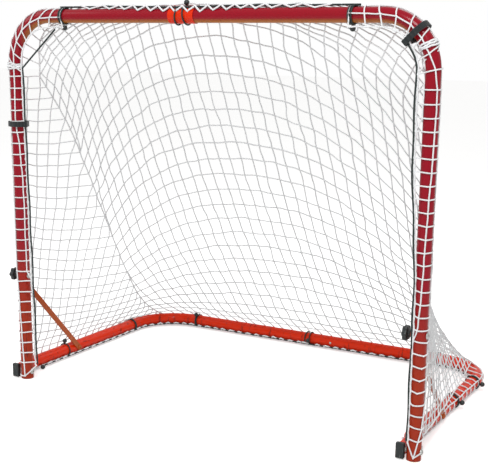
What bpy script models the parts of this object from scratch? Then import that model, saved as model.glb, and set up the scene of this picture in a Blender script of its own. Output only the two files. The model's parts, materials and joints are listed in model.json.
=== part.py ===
"""Folding street hockey goal: a bent steel tube frame with two posts and a
crossbar, a U-shaped base frame hinged to the foot of each post, two flat
braces that hang on knob bolts, and three nets laced on with shock cord.

Metres, +Z up, +Y towards the back of the goal. Sizes are worked out from the
left-right middle of the posts: x = 0 midway, y = 0 on the posts' axes, z = 0
on the ground. The empty goal_origin then carries everything to the frame
whose origin lies under the middle of the whole goal.
"""

import math

import bmesh
import bpy
from mathutils import Matrix, Vector

# Tube frame
TUBE_RADIUS = 0.019
TUBE_WALL = 0.0015
POST_X = 0.641
CROSSBAR_HEIGHT = 1.101
TOP_BEND_RADIUS = 0.130
BASE_DEPTH = 0.800
REAR_BEND_RADIUS = 0.165
BAR_SIDE_STEP = 0.0415
TUBE_SIDES = 16
BEND_STEPS = 6

# Clearances: one between still pieces, one round a shaft or a sleeve
GAP = 0.0003
JOINT_GAP = 0.001

# Crossbar joint and rear bar joint
SLEEVE_X = -0.0545
SLEEVE_LENGTH = 0.079
SLEEVE_WALL = 0.0012
REAR_JOINT_X = 0.010
SPIGOT_LENGTH = 0.130
SPIGOT_WALL = 0.0015

# Spring button that locks the rear bar joint
BUTTON_OFFSET = 0.032
BUTTON_RADIUS = 0.004
BUTTON_RISE = 0.002
BUTTON_CROWN = 0.0012
BUTTON_FLANGE_RADIUS = 0.006
BUTTON_FLANGE = 0.0012
BUTTON_SEAT_DEPTH = 0.0015

# Fasteners
BOLT_RADIUS = 0.003
BOLT_HEAD_RADIUS = 0.009
BOLT_HEAD_HEIGHT = 0.005
BOLT_CROWN = ((0, 1), (0.45, 0.92), (0.72, 0.62), (0.78, 0.30), (1, 0.26), (1, 0))
BOLT_POINT = 0.0006
BOLT_STAND_OUT = 0.001
NUT_RADIUS = 0.0058
NUT_HEIGHT = 0.005
WASHER_RADIUS = 0.007
FOOT_PLUG_HEIGHT = 0.014
FOOT_PLUG_EDGE = 0.001

# Pressed front ends of the base bars and their caps
PRESSED_WIDTH = 0.019
PRESSED_FRONT = -0.0185
PRESSED_REAR = 0.050
PRESSED_RUN = 0.040
PRESSED_SQUARENESS = 0.6
CAP_WALL = 0.0015
CAP_FLOOR = 0.0017
CAP_DEPTH = 0.0130
CAP_EDGE = 0.0030

# Braces
BRACE_BOLT_HEIGHT = 0.331
BRACE_FOOT_Y = 0.285
BRACE_WIDTH = 0.0175
BRACE_THICKNESS = 0.0029
BRACE_END_STEPS = 8
BRACE_SWING_RATIO = -1.51

# Star knobs
KNOB_RADIUS = 0.020
KNOB_LOBE_DEPTH = 0.0018
KNOB_LOBES = 6
KNOB_LOBE_STEPS = 6
KNOB_HEAD = 0.014
KNOB_COLLAR = 0.0065
KNOB_COLLAR_RADIUS = 0.009
KNOB_EDGE = 0.0012
KNOB_BORE_DEPTH = 0.016
KNOB_THREAD = 0.0125

# Shock cord, its loops and its ball stops
CORD_RADIUS = 0.0025
LOOP_RADIUS = 0.0021
BALL_RADIUS = 0.0075
CORD_SIDES = 8
LOOP_SEGMENTS = 16
LOOP_CORD_SIDES = 6
SIDE_LOOP_BEFORE_BEND = 0.020
BAR_LOOP_BEFORE_KNOT = 0.040 / 3
POST_CORD_TOP = 0.90
CROSSBAR_CORD_ENDS = (-0.47, 0.45)
BASE_CORD_STEPS = 8

# Hook and loop straps
STRAP_THICKNESS = 0.0035
STRAP_WIDTH = 0.015
STRAP_HEIGHT = 0.792

# Nets
TWINE = 0.0036
KNOT_RADIUS = 0.0023
NET_FOOT = 0.052
NET_EDGE_IN = 0.028
NET_PANEL_OUT = 0.030
NET_PANEL_START = 0.030
NET_PANEL_STEPS = 3
NET_CORNER_STEPS = 2
NET_PANEL_BOW = 2.2
SIDE_NET_ROWS = 8
ROWS_BELOW_KNOB = 2.5
REAR_BAR_STEPS = 12
ELBOW_ROWS = 2
BAR_ROWS = 2
NET_SEAM_GAP = 0.0044
CROSSBAR_NET_HALF = 0.455
NET_OVER_BAR = ((0.0285, 0.021), (0.0262, -0.013))
NET_TURN = math.radians(40)


def loop_middle(tube_radius):
    """Radius of a cord loop's own centreline, clear of the tube at its flats too."""
    return (tube_radius + GAP) / math.cos(math.pi / LOOP_SEGMENTS) + LOOP_RADIUS


# Sizes that follow from those above: the base frame lies on its cord loops
BASE_HEIGHT = loop_middle(TUBE_RADIUS) + LOOP_RADIUS
BORE_RADIUS = BOLT_RADIUS + GAP
HALF_TWINE = TWINE / 2
PLATE_OUTER = TUBE_RADIUS + GAP + BRACE_THICKNESS
KNOB_FACE = PLATE_OUTER + GAP
FLAT = math.cos(math.pi / TUBE_SIDES)
SLEEVE_RADIUS = (TUBE_RADIUS + GAP + SLEEVE_WALL) / FLAT
TUBE_BORE = TUBE_RADIUS * FLAT - TUBE_WALL
SPIGOT_RADIUS = TUBE_BORE - GAP
SPIGOT_BORE = SPIGOT_RADIUS * FLAT - SPIGOT_WALL
WRAP_RADIUS = (TUBE_RADIUS + KNOT_RADIUS + GAP) / math.cos(math.radians(25))
BRACE_RISE = BRACE_BOLT_HEIGHT - BASE_HEIGHT
BRACE_LENGTH = math.hypot(BRACE_FOOT_Y, BRACE_RISE)
BRACE_ANGLE = math.atan2(BRACE_RISE, -BRACE_FOOT_Y)
NET_ROW_PITCH = (BRACE_BOLT_HEIGHT - NET_FOOT) / ROWS_BELOW_KNOB
SLEEVE_LOOP_REACH = loop_middle(SLEEVE_RADIUS) + LOOP_RADIUS
CROSSBAR_CORD_REACH = SLEEVE_LOOP_REACH + GAP + CORD_RADIUS
NET_TOP_REACH = CROSSBAR_CORD_REACH + CORD_RADIUS + GAP + KNOT_RADIUS
BASE_CORD_REACH = BASE_HEIGHT + GAP + CORD_RADIUS

# The whole goal's reach to each side, which places the origin under its middle
LEFT_REACH = -POST_X - BAR_SIDE_STEP - NET_OVER_BAR[0][0] - HALF_TWINE
RIGHT_REACH = POST_X + NET_PANEL_OUT + HALF_TWINE
FRONT_REACH = -WRAP_RADIUS - KNOT_RADIUS - GAP - STRAP_THICKNESS
REAR_REACH = BASE_DEPTH + NET_OVER_BAR[0][0] + HALF_TWINE
ORIGIN = Vector(((LEFT_REACH + RIGHT_REACH) / 2, (FRONT_REACH + REAR_REACH) / 2, 0))

SIDES = {"left": -1, "right": 1}


# The scene, its collections and its empties
for old in list(bpy.data.objects):
    bpy.data.objects.remove(old)

parts = bpy.data.collections.new("hockey_goal")
cutters = bpy.data.collections.new("cutters")
for collection in (parts, cutters):
    bpy.context.scene.collection.children.link(collection)


def empty(name, location, parent=None):
    """An empty at a joint's axis, or the one that carries the whole goal."""
    pivot = bpy.data.objects.new(name, None)
    pivot.location = location
    pivot.empty_display_size = 0.05
    parts.objects.link(pivot)
    if parent:
        pivot.parent = parent
        pivot.matrix_parent_inverse = Matrix.Translation(parent["place"]).inverted()
    pivot["place"] = location
    return pivot


def hang_on(piece, pivot):
    """Parents a piece to an empty and leaves the piece where it is."""
    piece.parent = pivot
    piece.matrix_parent_inverse = Matrix.Translation(pivot["place"]).inverted()


goal_origin = empty("goal_origin", (0, 0, 0))
base_axis = empty("base_fold_axis", (0, 0, BASE_HEIGHT), goal_origin)
brace_axis = {}
knob_axis = {}
for side, sign in SIDES.items():
    post = sign * POST_X
    brace_axis[side] = empty(f"{side}_brace_axis", (post, BRACE_FOOT_Y, BASE_HEIGHT), base_axis)
    knob_axis[side] = empty(f"{side}_knob_axis", (post, 0, BRACE_BOLT_HEIGHT), goal_origin)


def paint(name, colour, roughness, metallic=0.0):
    """A plain Principled material."""
    material = bpy.data.materials.new(name)
    material.use_nodes = True
    shader = material.node_tree.nodes["Principled BSDF"]
    shader.inputs["Base Color"].default_value = (*colour, 1)
    shader.inputs["Roughness"].default_value = roughness
    shader.inputs["Metallic"].default_value = metallic
    return material


def finish(piece, name, material, pivot=goal_origin):
    """Names a piece, files it with the parts, gives it its material and its parent."""
    piece.name = name
    piece.data.name = name
    for holder in list(piece.users_collection):
        holder.objects.unlink(piece)
    parts.objects.link(piece)
    piece.data.materials.clear()
    own = material.copy()
    own.name = f"{name}_{material.name}"
    piece.data.materials.append(own)
    piece.data.shade_smooth()
    piece.data.set_sharp_from_angle(angle=math.radians(40))
    hang_on(piece, pivot)
    return piece


def tool(piece, name):
    """Files a cutter, hidden in renders and drawn as wire."""
    piece.name = name
    for holder in list(piece.users_collection):
        holder.objects.unlink(piece)
    cutters.objects.link(piece)
    piece.hide_render = True
    piece.display_type = "WIRE"
    hang_on(piece, goal_origin)
    return piece


def boolean(piece, other, operation="DIFFERENCE"):
    """Cuts a piece with a cutter, or joins one to it."""
    modifier = piece.modifiers.new(other.name, "BOOLEAN")
    modifier.operation = operation
    modifier.solver = "EXACT"
    modifier.object = other


def to_mesh(shape):
    """Turns a curve object into a mesh object, with its caps welded on."""
    bpy.context.view_layer.update()
    evaluated = shape.evaluated_get(bpy.context.evaluated_depsgraph_get())
    mesh = bpy.data.meshes.new_from_object(evaluated)
    work = bmesh.new()
    work.from_mesh(mesh)
    bmesh.ops.remove_doubles(work, verts=work.verts, dist=1e-6)
    work.to_mesh(mesh)
    work.free()
    solid = bpy.data.objects.new(shape.name, mesh)
    solid.matrix_world = shape.matrix_world
    bpy.context.scene.collection.objects.link(solid)
    bpy.data.objects.remove(shape)
    return solid


def round_bar(points, radius, sides, open_ended=False):
    """A round bar along a chain of points; open-ended, it is the skin of a tube."""
    curve = bpy.data.curves.new("bar", "CURVE")
    curve.dimensions = "3D"
    curve.bevel_depth = radius
    curve.bevel_resolution = (sides - 4) // 2
    curve.use_fill_caps = not open_ended
    spline = curve.splines.new("POLY")
    spline.points.add(len(points) - 1)
    for place, point in zip(spline.points, points):
        place.co = (*point, 1)
    shape = bpy.data.objects.new("bar", curve)
    bpy.context.scene.collection.objects.link(shape)
    return to_mesh(shape)


def give_wall(piece, thickness, offset=-1):
    """Solidifies an open skin into a closed wall."""
    modifier = piece.modifiers.new("wall", "SOLIDIFY")
    modifier.thickness = thickness
    modifier.offset = offset
    modifier.use_even_offset = True


def bevel(piece, width, segments=2):
    """Rounds a piece's sharp edges."""
    modifier = piece.modifiers.new("rounding", "BEVEL")
    modifier.width = width
    modifier.segments = segments
    modifier.angle_limit = math.radians(40)


def flat_outline(points, thickness, rounding=0.0):
    """A flat plate with the outline given, centred on its own middle plane."""
    curve = bpy.data.curves.new("outline", "CURVE")
    curve.dimensions = "2D"
    curve.fill_mode = "BOTH"
    curve.extrude = thickness / 2 - rounding
    curve.bevel_depth = rounding
    curve.bevel_resolution = 0
    spline = curve.splines.new("POLY")
    spline.points.add(len(points) - 1)
    for place, point in zip(spline.points, points):
        place.co = (*point, 0, 1)
    spline.use_cyclic_u = True
    shape = bpy.data.objects.new("outline", curve)
    bpy.context.scene.collection.objects.link(shape)
    return to_mesh(shape)


def turned(profile, place, turn=(0, 0, 0), steps=12):
    """A body of revolution about its own Z axis from (radius, height) points, top first."""
    mesh = bpy.data.meshes.new("turned")
    verts = [(radius, 0, height) for radius, height in profile]
    mesh.from_pydata(verts, [(i, i + 1) for i in range(len(verts) - 1)], [])
    piece = bpy.data.objects.new("turned", mesh)
    piece.location = place
    piece.rotation_euler = turn
    bpy.context.scene.collection.objects.link(piece)
    screw = piece.modifiers.new("turn", "SCREW")
    screw.steps = steps
    screw.render_steps = steps
    screw.use_merge_vertices = True
    screw.merge_threshold = 1e-5
    return piece


def cylinder(name, radius, length, place, turn=(0, 0, 0), sides=16):
    """A plain cylinder to cut with or to join on."""
    bpy.ops.mesh.primitive_cylinder_add(
        vertices=sides, radius=radius, depth=length, location=place, rotation=turn
    )
    return tool(bpy.context.object, name)


ALONG_X = (0, math.radians(90), 0)
ALONG_MINUS_X = (0, math.radians(-90), 0)
ALONG_MINUS_Y = (math.radians(90), 0, 0)

red_paint = paint("red_enamel", (0.52, 0.01, 0.03), 0.3)
orange_paint = paint("orange_enamel", (0.85, 0.06, 0.01), 0.3)
brace_paint = paint("rust_enamel", (0.55, 0.12, 0.02), 0.4)
zinc = paint("zinc_steel", (0.5, 0.5, 0.48), 0.35, 1.0)
black_plastic = paint("black_plastic", (0.01, 0.012, 0.014), 0.45)
black_rubber = paint("black_rubber", (0.012, 0.016, 0.016), 0.6)
nylon = paint("nylon", (0.75, 0.75, 0.72), 0.5)
black_webbing = paint("black_webbing", (0.015, 0.02, 0.022), 0.9)
white_twine = paint("white_twine", (0.85, 0.85, 0.85), 0.8)


# Centrelines of the two frames
def frame_place(side, run):
    """Centre and inward direction on the post, bend or crossbar, by length from the ground."""
    sign = SIDES[side]
    straight = CROSSBAR_HEIGHT - TOP_BEND_RADIUS
    bend = TOP_BEND_RADIUS * math.pi / 2
    if run <= straight:
        return Vector((sign * POST_X, 0, run)), Vector((-sign, 0, 0))
    if run <= straight + bend:
        angle = (run - straight) / TOP_BEND_RADIUS
        inward = Vector((-sign * math.cos(angle), 0, -math.sin(angle)))
        middle = Vector((sign * (POST_X - TOP_BEND_RADIUS), 0, straight))
        return middle - inward * TOP_BEND_RADIUS, inward
    beyond = run - straight - bend
    x = sign * (POST_X - TOP_BEND_RADIUS - beyond)
    return Vector((x, 0, CROSSBAR_HEIGHT)), Vector((0, 0, -1))


def bar_x(side):
    """The base bars lie on the same side of both posts."""
    return SIDES[side] * POST_X - BAR_SIDE_STEP


def base_place(side, run):
    """Centre and outward direction on the base bar, by length back from the hinge."""
    sign = SIDES[side]
    straight = BASE_DEPTH - REAR_BEND_RADIUS
    bend = REAR_BEND_RADIUS * math.pi / 2
    if run <= straight:
        return Vector((bar_x(side), run, BASE_HEIGHT)), Vector((sign, 0, 0))
    if run <= straight + bend:
        angle = (run - straight) / REAR_BEND_RADIUS
        outward = Vector((sign * math.cos(angle), math.sin(angle), 0))
        middle = Vector((bar_x(side) - sign * REAR_BEND_RADIUS, straight, BASE_HEIGHT))
        return middle + outward * REAR_BEND_RADIUS, outward
    beyond = run - straight - bend
    x = bar_x(side) - sign * (REAR_BEND_RADIUS + beyond)
    return Vector((x, BASE_DEPTH, BASE_HEIGHT)), Vector((0, 1, 0))


BASE_STRAIGHT = BASE_DEPTH - REAR_BEND_RADIUS
BASE_BEND = REAR_BEND_RADIUS * math.pi / 2
BASE_CORNER = BASE_STRAIGHT + BASE_BEND / 2
FRAME_STRAIGHT = CROSSBAR_HEIGHT - TOP_BEND_RADIUS
FRAME_BEND = TOP_BEND_RADIUS * math.pi / 2


def steps_between(start, end, count):
    """Evenly spaced values from start to end, both included."""
    return [start + (end - start) * i / count for i in range(count + 1)]


# Post and crossbar tubes: each half is one tube bent once, drilled for its bolts
def frame_tube(side):
    """Left or right half of the front frame."""
    sign = SIDES[side]
    joint = SLEEVE_X + sign * JOINT_GAP / 2
    runs = steps_between(FRAME_STRAIGHT, FRAME_STRAIGHT + FRAME_BEND, BEND_STEPS)
    points = [frame_place(side, 2 * GAP)[0]]
    points += [frame_place(side, run)[0] for run in runs]
    points.append(Vector((joint, 0, CROSSBAR_HEIGHT)))
    tube = round_bar(points, TUBE_RADIUS, TUBE_SIDES, open_ended=True)
    give_wall(tube, TUBE_WALL)
    for label, height in (("hinge", BASE_HEIGHT), ("brace", BRACE_BOLT_HEIGHT)):
        place = (sign * POST_X, 0, height)
        name = f"{side}_post_{label}_hole"
        boolean(tube, cylinder(name, BORE_RADIUS, 3 * TUBE_RADIUS, place, ALONG_X))
    finish(tube, f"{side}_frame_tube", red_paint)


def foot_plug(side):
    """Plastic plug pushed into the foot of a post, flush with the ground."""
    radius = TUBE_BORE - GAP
    profile = [
        (0, FOOT_PLUG_HEIGHT),
        (radius - FOOT_PLUG_EDGE, FOOT_PLUG_HEIGHT),
        (radius, FOOT_PLUG_HEIGHT - FOOT_PLUG_EDGE),
        (radius, 0),
        (0, 0),
    ]
    plug = turned(profile, (SIDES[side] * POST_X, 0, 0), steps=TUBE_SIDES)
    finish(plug, f"{side}_foot_plug", black_plastic)


def crossbar_sleeve():
    """Short sleeve over the joint between the two halves."""
    half = SLEEVE_LENGTH / 2
    ends = [(SLEEVE_X - half, 0, CROSSBAR_HEIGHT), (SLEEVE_X + half, 0, CROSSBAR_HEIGHT)]
    sleeve = round_bar(ends, SLEEVE_RADIUS, TUBE_SIDES, open_ended=True)
    give_wall(sleeve, SLEEVE_WALL)
    finish(sleeve, "crossbar_sleeve", orange_paint)


for side in SIDES:
    frame_tube(side)
    foot_plug(side)
crossbar_sleeve()


# Bolts, nuts and washers
def bolt(name, head_x, tip_x, y, z, pivot=goal_origin):
    """Domed flange bolt along X, with its head towards +X."""
    tip = tip_x - head_x
    profile = [(BOLT_HEAD_RADIUS * out, BOLT_HEAD_HEIGHT * up) for out, up in BOLT_CROWN]
    profile += [
        (BOLT_RADIUS, 0),
        (BOLT_RADIUS, tip + BOLT_POINT),
        (BOLT_RADIUS - BOLT_POINT, tip),
        (0, tip),
    ]
    piece = turned(profile, (head_x, y, z), ALONG_X)
    finish(piece, name, zinc, pivot)


def nut(name, face_x, y, z, pivot):
    """Hexagon nut whose face lies at face_x, standing out towards -X."""
    place = (face_x - NUT_HEIGHT / 2, y, z)
    bpy.ops.mesh.primitive_cylinder_add(
        vertices=6, radius=NUT_RADIUS, depth=NUT_HEIGHT, location=place, rotation=ALONG_X
    )
    piece = bpy.context.object
    bevel(piece, BOLT_POINT, 1)
    boolean(piece, cylinder(f"{name}_bore", BORE_RADIUS, 2 * NUT_HEIGHT, place, ALONG_X))
    finish(piece, name, zinc, pivot)


def hinge_hardware(side):
    """The bolt on which a base bar turns, its nut and the washer between bar and post."""
    post = SIDES[side] * POST_X
    head = post + TUBE_RADIUS + GAP
    bar_face = post - BAR_SIDE_STEP
    tip = bar_face - GAP - NUT_HEIGHT - BOLT_STAND_OUT
    bolt(f"{side}_hinge_bolt", head, tip, 0, BASE_HEIGHT)
    nut(f"{side}_hinge_nut", bar_face - GAP, 0, BASE_HEIGHT, goal_origin)
    profile = [
        (BORE_RADIUS, BRACE_THICKNESS),
        (WASHER_RADIUS, BRACE_THICKNESS),
        (WASHER_RADIUS, 0),
        (BORE_RADIUS, 0),
        (BORE_RADIUS, BRACE_THICKNESS),
    ]
    washer = turned(profile, (post - PLATE_OUTER, 0, BASE_HEIGHT), ALONG_X)
    finish(washer, f"{side}_hinge_washer", nylon)


def brace_hardware(side):
    """The knob's bolt at the brace's top, and the bolt and nut at its foot."""
    post = SIDES[side] * POST_X
    tip = post - KNOB_FACE - KNOB_THREAD
    bolt(f"{side}_brace_top_bolt", post + TUBE_RADIUS + GAP, tip, 0, BRACE_BOLT_HEIGHT)
    head = post - TUBE_RADIUS
    nut_face = bar_x(side) - TUBE_RADIUS - GAP
    tip = nut_face - NUT_HEIGHT - BOLT_POINT
    bolt(f"{side}_brace_foot_bolt", head, tip, BRACE_FOOT_Y, BASE_HEIGHT, base_axis)
    nut(f"{side}_brace_foot_nut", nut_face, BRACE_FOOT_Y, BASE_HEIGHT, base_axis)


for side in SIDES:
    hinge_hardware(side)
    brace_hardware(side)


# Base bars: front end pressed to a flat-sided section, one bend, rear joint
def pressed(point, side):
    """Moves a point of the round tube to where pressing the bar's end puts it."""
    inner = bar_x(side) + TUBE_RADIUS
    share = min(max((point.y - PRESSED_REAR) / PRESSED_RUN, 0), 1)
    share = share * share * (3 - 2 * share)
    squareness = PRESSED_SQUARENESS + (1 - PRESSED_SQUARENESS) * share
    half_width = PRESSED_WIDTH / 2 + (TUBE_RADIUS - PRESSED_WIDTH / 2) * share
    across = (point.x - bar_x(side)) / TUBE_RADIUS
    up = (point.z - BASE_HEIGHT) / TUBE_RADIUS
    across = math.copysign(min(abs(across), 1) ** squareness, across)
    up = math.copysign(min(abs(up), 1) ** squareness, up)
    x = inner - half_width + half_width * across
    return Vector((x, point.y, BASE_HEIGHT + TUBE_RADIUS * up))


def base_tube(side):
    """Left or right half of the base frame."""
    sign = SIDES[side]
    front = [PRESSED_FRONT] + steps_between(PRESSED_REAR, PRESSED_REAR + PRESSED_RUN, 4)
    bend = steps_between(BASE_STRAIGHT, BASE_STRAIGHT + BASE_BEND, BEND_STEPS)
    points = [base_place(side, run)[0] for run in front + bend]
    joint = REAR_JOINT_X + sign * JOINT_GAP / 2
    points.append(Vector((joint, BASE_DEPTH, BASE_HEIGHT)))
    tube = round_bar(points, TUBE_RADIUS, TUBE_SIDES, open_ended=True)
    for vertex in tube.data.vertices:
        if vertex.co.y < PRESSED_REAR + PRESSED_RUN - GAP:
            vertex.co = pressed(vertex.co, side)
    give_wall(tube, TUBE_WALL)
    for label, y in (("hinge", 0), ("brace", BRACE_FOOT_Y)):
        place = (bar_x(side), y, BASE_HEIGHT)
        name = f"{side}_bar_{label}_hole"
        boolean(tube, cylinder(name, BORE_RADIUS, 3 * TUBE_RADIUS, place, ALONG_X))
    if side == "right":
        boolean(tube, button_hole("tube_button_hole"))
    finish(tube, f"{side}_base_tube", orange_paint, base_axis)


def button_hole(name):
    """Hole that the spring button stands through."""
    place = (REAR_JOINT_X + BUTTON_OFFSET, BASE_DEPTH - TUBE_RADIUS, BASE_HEIGHT)
    return cylinder(name, BUTTON_RADIUS + GAP, TUBE_RADIUS, place, ALONG_MINUS_Y)


def bar_end_cap(side):
    """Plastic cup over the pressed front end of a base bar."""
    width = PRESSED_WIDTH + 2 * (GAP + CAP_WALL)
    height = 2 * (TUBE_RADIUS + GAP + CAP_WALL)
    middle_x = bar_x(side) + TUBE_RADIUS - PRESSED_WIDTH / 2
    front = PRESSED_FRONT - GAP - CAP_FLOOR
    bpy.ops.mesh.primitive_cube_add(size=1)
    cap = bpy.context.object
    cap.scale = (width, CAP_DEPTH, height)
    cap.location = (middle_x, front + CAP_DEPTH / 2, BASE_HEIGHT)
    bpy.ops.object.transform_apply(location=False, rotation=False, scale=True)
    bevel(cap, CAP_EDGE)
    bpy.ops.mesh.primitive_cube_add(size=1)
    hollow = bpy.context.object
    hollow.scale = (PRESSED_WIDTH + 2 * GAP, CAP_DEPTH, 2 * (TUBE_RADIUS + GAP))
    hollow.location = (middle_x, front + CAP_FLOOR + CAP_DEPTH / 2, BASE_HEIGHT)
    bpy.ops.object.transform_apply(location=False, rotation=False, scale=True)
    boolean(cap, tool(hollow, f"{side}_cap_hollow"))
    finish(cap, f"{side}_bar_end_cap", black_plastic, base_axis)


def base_spigot():
    """Inner tube that carries the rear bar's joint."""
    half = SPIGOT_LENGTH / 2
    ends = [(REAR_JOINT_X + step, BASE_DEPTH, BASE_HEIGHT) for step in (-half, half)]
    spigot = round_bar(ends, SPIGOT_RADIUS, TUBE_SIDES, open_ended=True)
    give_wall(spigot, SPIGOT_WALL)
    boolean(spigot, button_hole("spigot_button_hole"))
    finish(spigot, "rear_bar_spigot", zinc, base_axis)


def snap_button():
    """Spring button through spigot and tube, held in by its flange."""
    top = TUBE_RADIUS + BUTTON_RISE
    seat = SPIGOT_BORE - BUTTON_SEAT_DEPTH
    profile = [
        (0, top),
        (BUTTON_RADIUS * 0.7, top - BUTTON_CROWN / 4),
        (BUTTON_RADIUS, top - BUTTON_CROWN),
        (BUTTON_RADIUS, seat),
        (BUTTON_FLANGE_RADIUS, seat),
        (BUTTON_FLANGE_RADIUS, seat - BUTTON_FLANGE),
        (0, seat - BUTTON_FLANGE),
    ]
    place = (REAR_JOINT_X + BUTTON_OFFSET, BASE_DEPTH, BASE_HEIGHT)
    button = turned(profile, place, ALONG_MINUS_Y)
    finish(button, "rear_snap_button", zinc, base_axis)


for side in SIDES:
    base_tube(side)
    bar_end_cap(side)
base_spigot()
snap_button()


# Braces: flat strips with a hole at the foot and a hook notch at the top
def hook_direction():
    """The way in which the top bolt leaves the brace as the base starts to fold.

    In the brace's own axes: x from foot to top, y towards its front edge.
    """
    turn = 1 + BRACE_SWING_RATIO
    to_top = Vector((-BRACE_FOOT_Y, BRACE_RISE))
    drift = Vector((turn * to_top.y, -BRACE_FOOT_Y - turn * to_top.x))
    along = Vector((math.cos(BRACE_ANGLE), math.sin(BRACE_ANGLE)))
    forward = Vector((-along.y, along.x))
    return Vector((drift.dot(along), drift.dot(forward))).normalized()


def brace_outline():
    """Strip with round ends, foot hole at the origin."""
    radius = BRACE_WIDTH / 2
    points = []
    for centre, start in ((BRACE_LENGTH, -90), (0, 90)):
        for angle in steps_between(start, start + 180, BRACE_END_STEPS):
            turn = math.radians(angle)
            points.append((centre + radius * math.cos(turn), radius * math.sin(turn)))
    return points


def brace(side):
    """Left or right brace, hung on the knob's bolt by its hook notch."""
    strip = flat_outline(brace_outline(), BRACE_THICKNESS)
    across = Vector((1, 0, 0))
    along = Vector((0, math.cos(BRACE_ANGLE), math.sin(BRACE_ANGLE)))
    forward = across.cross(along)
    middle = SIDES[side] * POST_X - TUBE_RADIUS - GAP - BRACE_THICKNESS / 2
    foot = Vector((middle, BRACE_FOOT_Y, BASE_HEIGHT))
    place = Matrix.Translation(foot) @ Matrix((along, forward, across)).transposed().to_4x4()
    strip.matrix_world = place
    way_out = hook_direction()
    notch_end = Vector((BRACE_LENGTH, 0)) + way_out * BRACE_WIDTH
    notch_middle = (Vector((BRACE_LENGTH, 0)) + notch_end) / 2
    turn = math.atan2(way_out.y, way_out.x)
    bpy.ops.mesh.primitive_cube_add(size=1)
    notch = tool(bpy.context.object, f"{side}_brace_notch")
    size = Matrix.Diagonal((BRACE_WIDTH, 2 * (BORE_RADIUS + GAP), 4 * BRACE_THICKNESS, 1))
    move = Matrix.Translation((notch_middle.x, notch_middle.y, 0))
    notch.matrix_basis = place @ move @ Matrix.Rotation(turn, 4, "Z") @ size
    boolean(strip, notch)
    for label, run, spare in (("foot", 0, 0), ("top", BRACE_LENGTH, GAP)):
        name = f"{side}_brace_{label}_hole"
        hole = cylinder(name, BORE_RADIUS + spare, 4 * BRACE_THICKNESS, (0, 0, 0))
        hole.matrix_basis = place @ Matrix.Translation((run, 0, 0))
        boolean(strip, hole)
    finish(strip, f"{side}_brace", brace_paint, brace_axis[side])


# Star knobs that clamp the braces to the posts
def knob(side):
    """Lobed plastic knob with a collar, bored for the bolt's thread."""
    count = KNOB_LOBES * KNOB_LOBE_STEPS
    points = []
    for step in range(count):
        angle = 2 * math.pi * step / count
        radius = KNOB_RADIUS - KNOB_EDGE - KNOB_LOBE_DEPTH * (1 - math.cos(KNOB_LOBES * angle))
        points.append((radius * math.cos(angle), radius * math.sin(angle)))
    head = flat_outline(points, KNOB_HEAD, KNOB_EDGE)
    face = SIDES[side] * POST_X - KNOB_FACE
    head.location = (face - KNOB_COLLAR - KNOB_HEAD / 2, 0, BRACE_BOLT_HEIGHT)
    head.rotation_euler = ALONG_X
    length = KNOB_COLLAR + KNOB_HEAD / 2
    place = (face - length / 2, 0, BRACE_BOLT_HEIGHT)
    collar = cylinder(f"{side}_knob_collar", KNOB_COLLAR_RADIUS, length, place, ALONG_X)
    boolean(head, collar, "UNION")
    bore_place = (face, 0, BRACE_BOLT_HEIGHT)
    bore = cylinder(f"{side}_knob_bore", BORE_RADIUS, 2 * KNOB_BORE_DEPTH, bore_place, ALONG_X)
    boolean(head, bore)
    finish(head, f"{side}_knob", black_plastic, knob_axis[side])


for side in SIDES:
    brace(side)
    knob(side)


# Shock cord loops round the bars, each with its ball stop
def loop(name, place, along, tube_radius, pivot):
    """Ring of shock cord round a bar."""
    bpy.ops.mesh.primitive_torus_add(
        major_segments=LOOP_SEGMENTS,
        minor_segments=LOOP_CORD_SIDES,
        major_radius=loop_middle(tube_radius),
        minor_radius=LOOP_RADIUS,
        location=place,
    )
    ring = bpy.context.object
    ring.rotation_euler = Vector(along).to_track_quat("Z", "Y").to_euler()
    finish(ring, name, black_rubber, pivot)


def ball(name, place, pivot):
    """Ball stop of a shock cord loop."""
    bpy.ops.mesh.primitive_uv_sphere_add(
        segments=10, ring_count=7, radius=BALL_RADIUS, location=place
    )
    finish(bpy.context.object, name, black_plastic, pivot)


def ball_centre(place, towards, tube_radius):
    """Where a ball rests on the outside of a loop."""
    reach = loop_middle(tube_radius) + LOOP_RADIUS + GAP + BALL_RADIUS
    return Vector(place) + Vector(towards).normalized() * reach


UP = (0, 0, 1)
DOWN = (0, 0, -1)
CROSSBAR_LOOPS = (
    ("crossbar_left", -0.455, TUBE_RADIUS, DOWN),
    ("crossbar_centre_left", -0.069, SLEEVE_RADIUS, None),
    ("crossbar_centre", -0.045, SLEEVE_RADIUS, UP),
    ("crossbar_right", 0.4315, TUBE_RADIUS, DOWN),
)
for label, x, tube_radius, towards in CROSSBAR_LOOPS:
    place = (x, 0, CROSSBAR_HEIGHT)
    loop(f"{label}_loop", place, (1, 0, 0), tube_radius, goal_origin)
    if towards:
        ball(f"{label}_ball", ball_centre(place, towards, tube_radius), goal_origin)

INNER_TOP = (0, -0.6, 0.8)
REAR_LOOPS = (
    ("rear_left", -0.507, INNER_TOP),
    ("rear_centre_left", -0.056, None),
    ("rear_centre", -0.038, (0, -1, 0)),
    ("rear_right", 0.424, None),
)
for label, x, towards in REAR_LOOPS:
    place = (x, BASE_DEPTH, BASE_HEIGHT)
    loop(f"{label}_loop", place, (1, 0, 0), TUBE_RADIUS, base_axis)
    if towards:
        ball(f"{label}_ball", ball_centre(place, towards, TUBE_RADIUS), base_axis)

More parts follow.
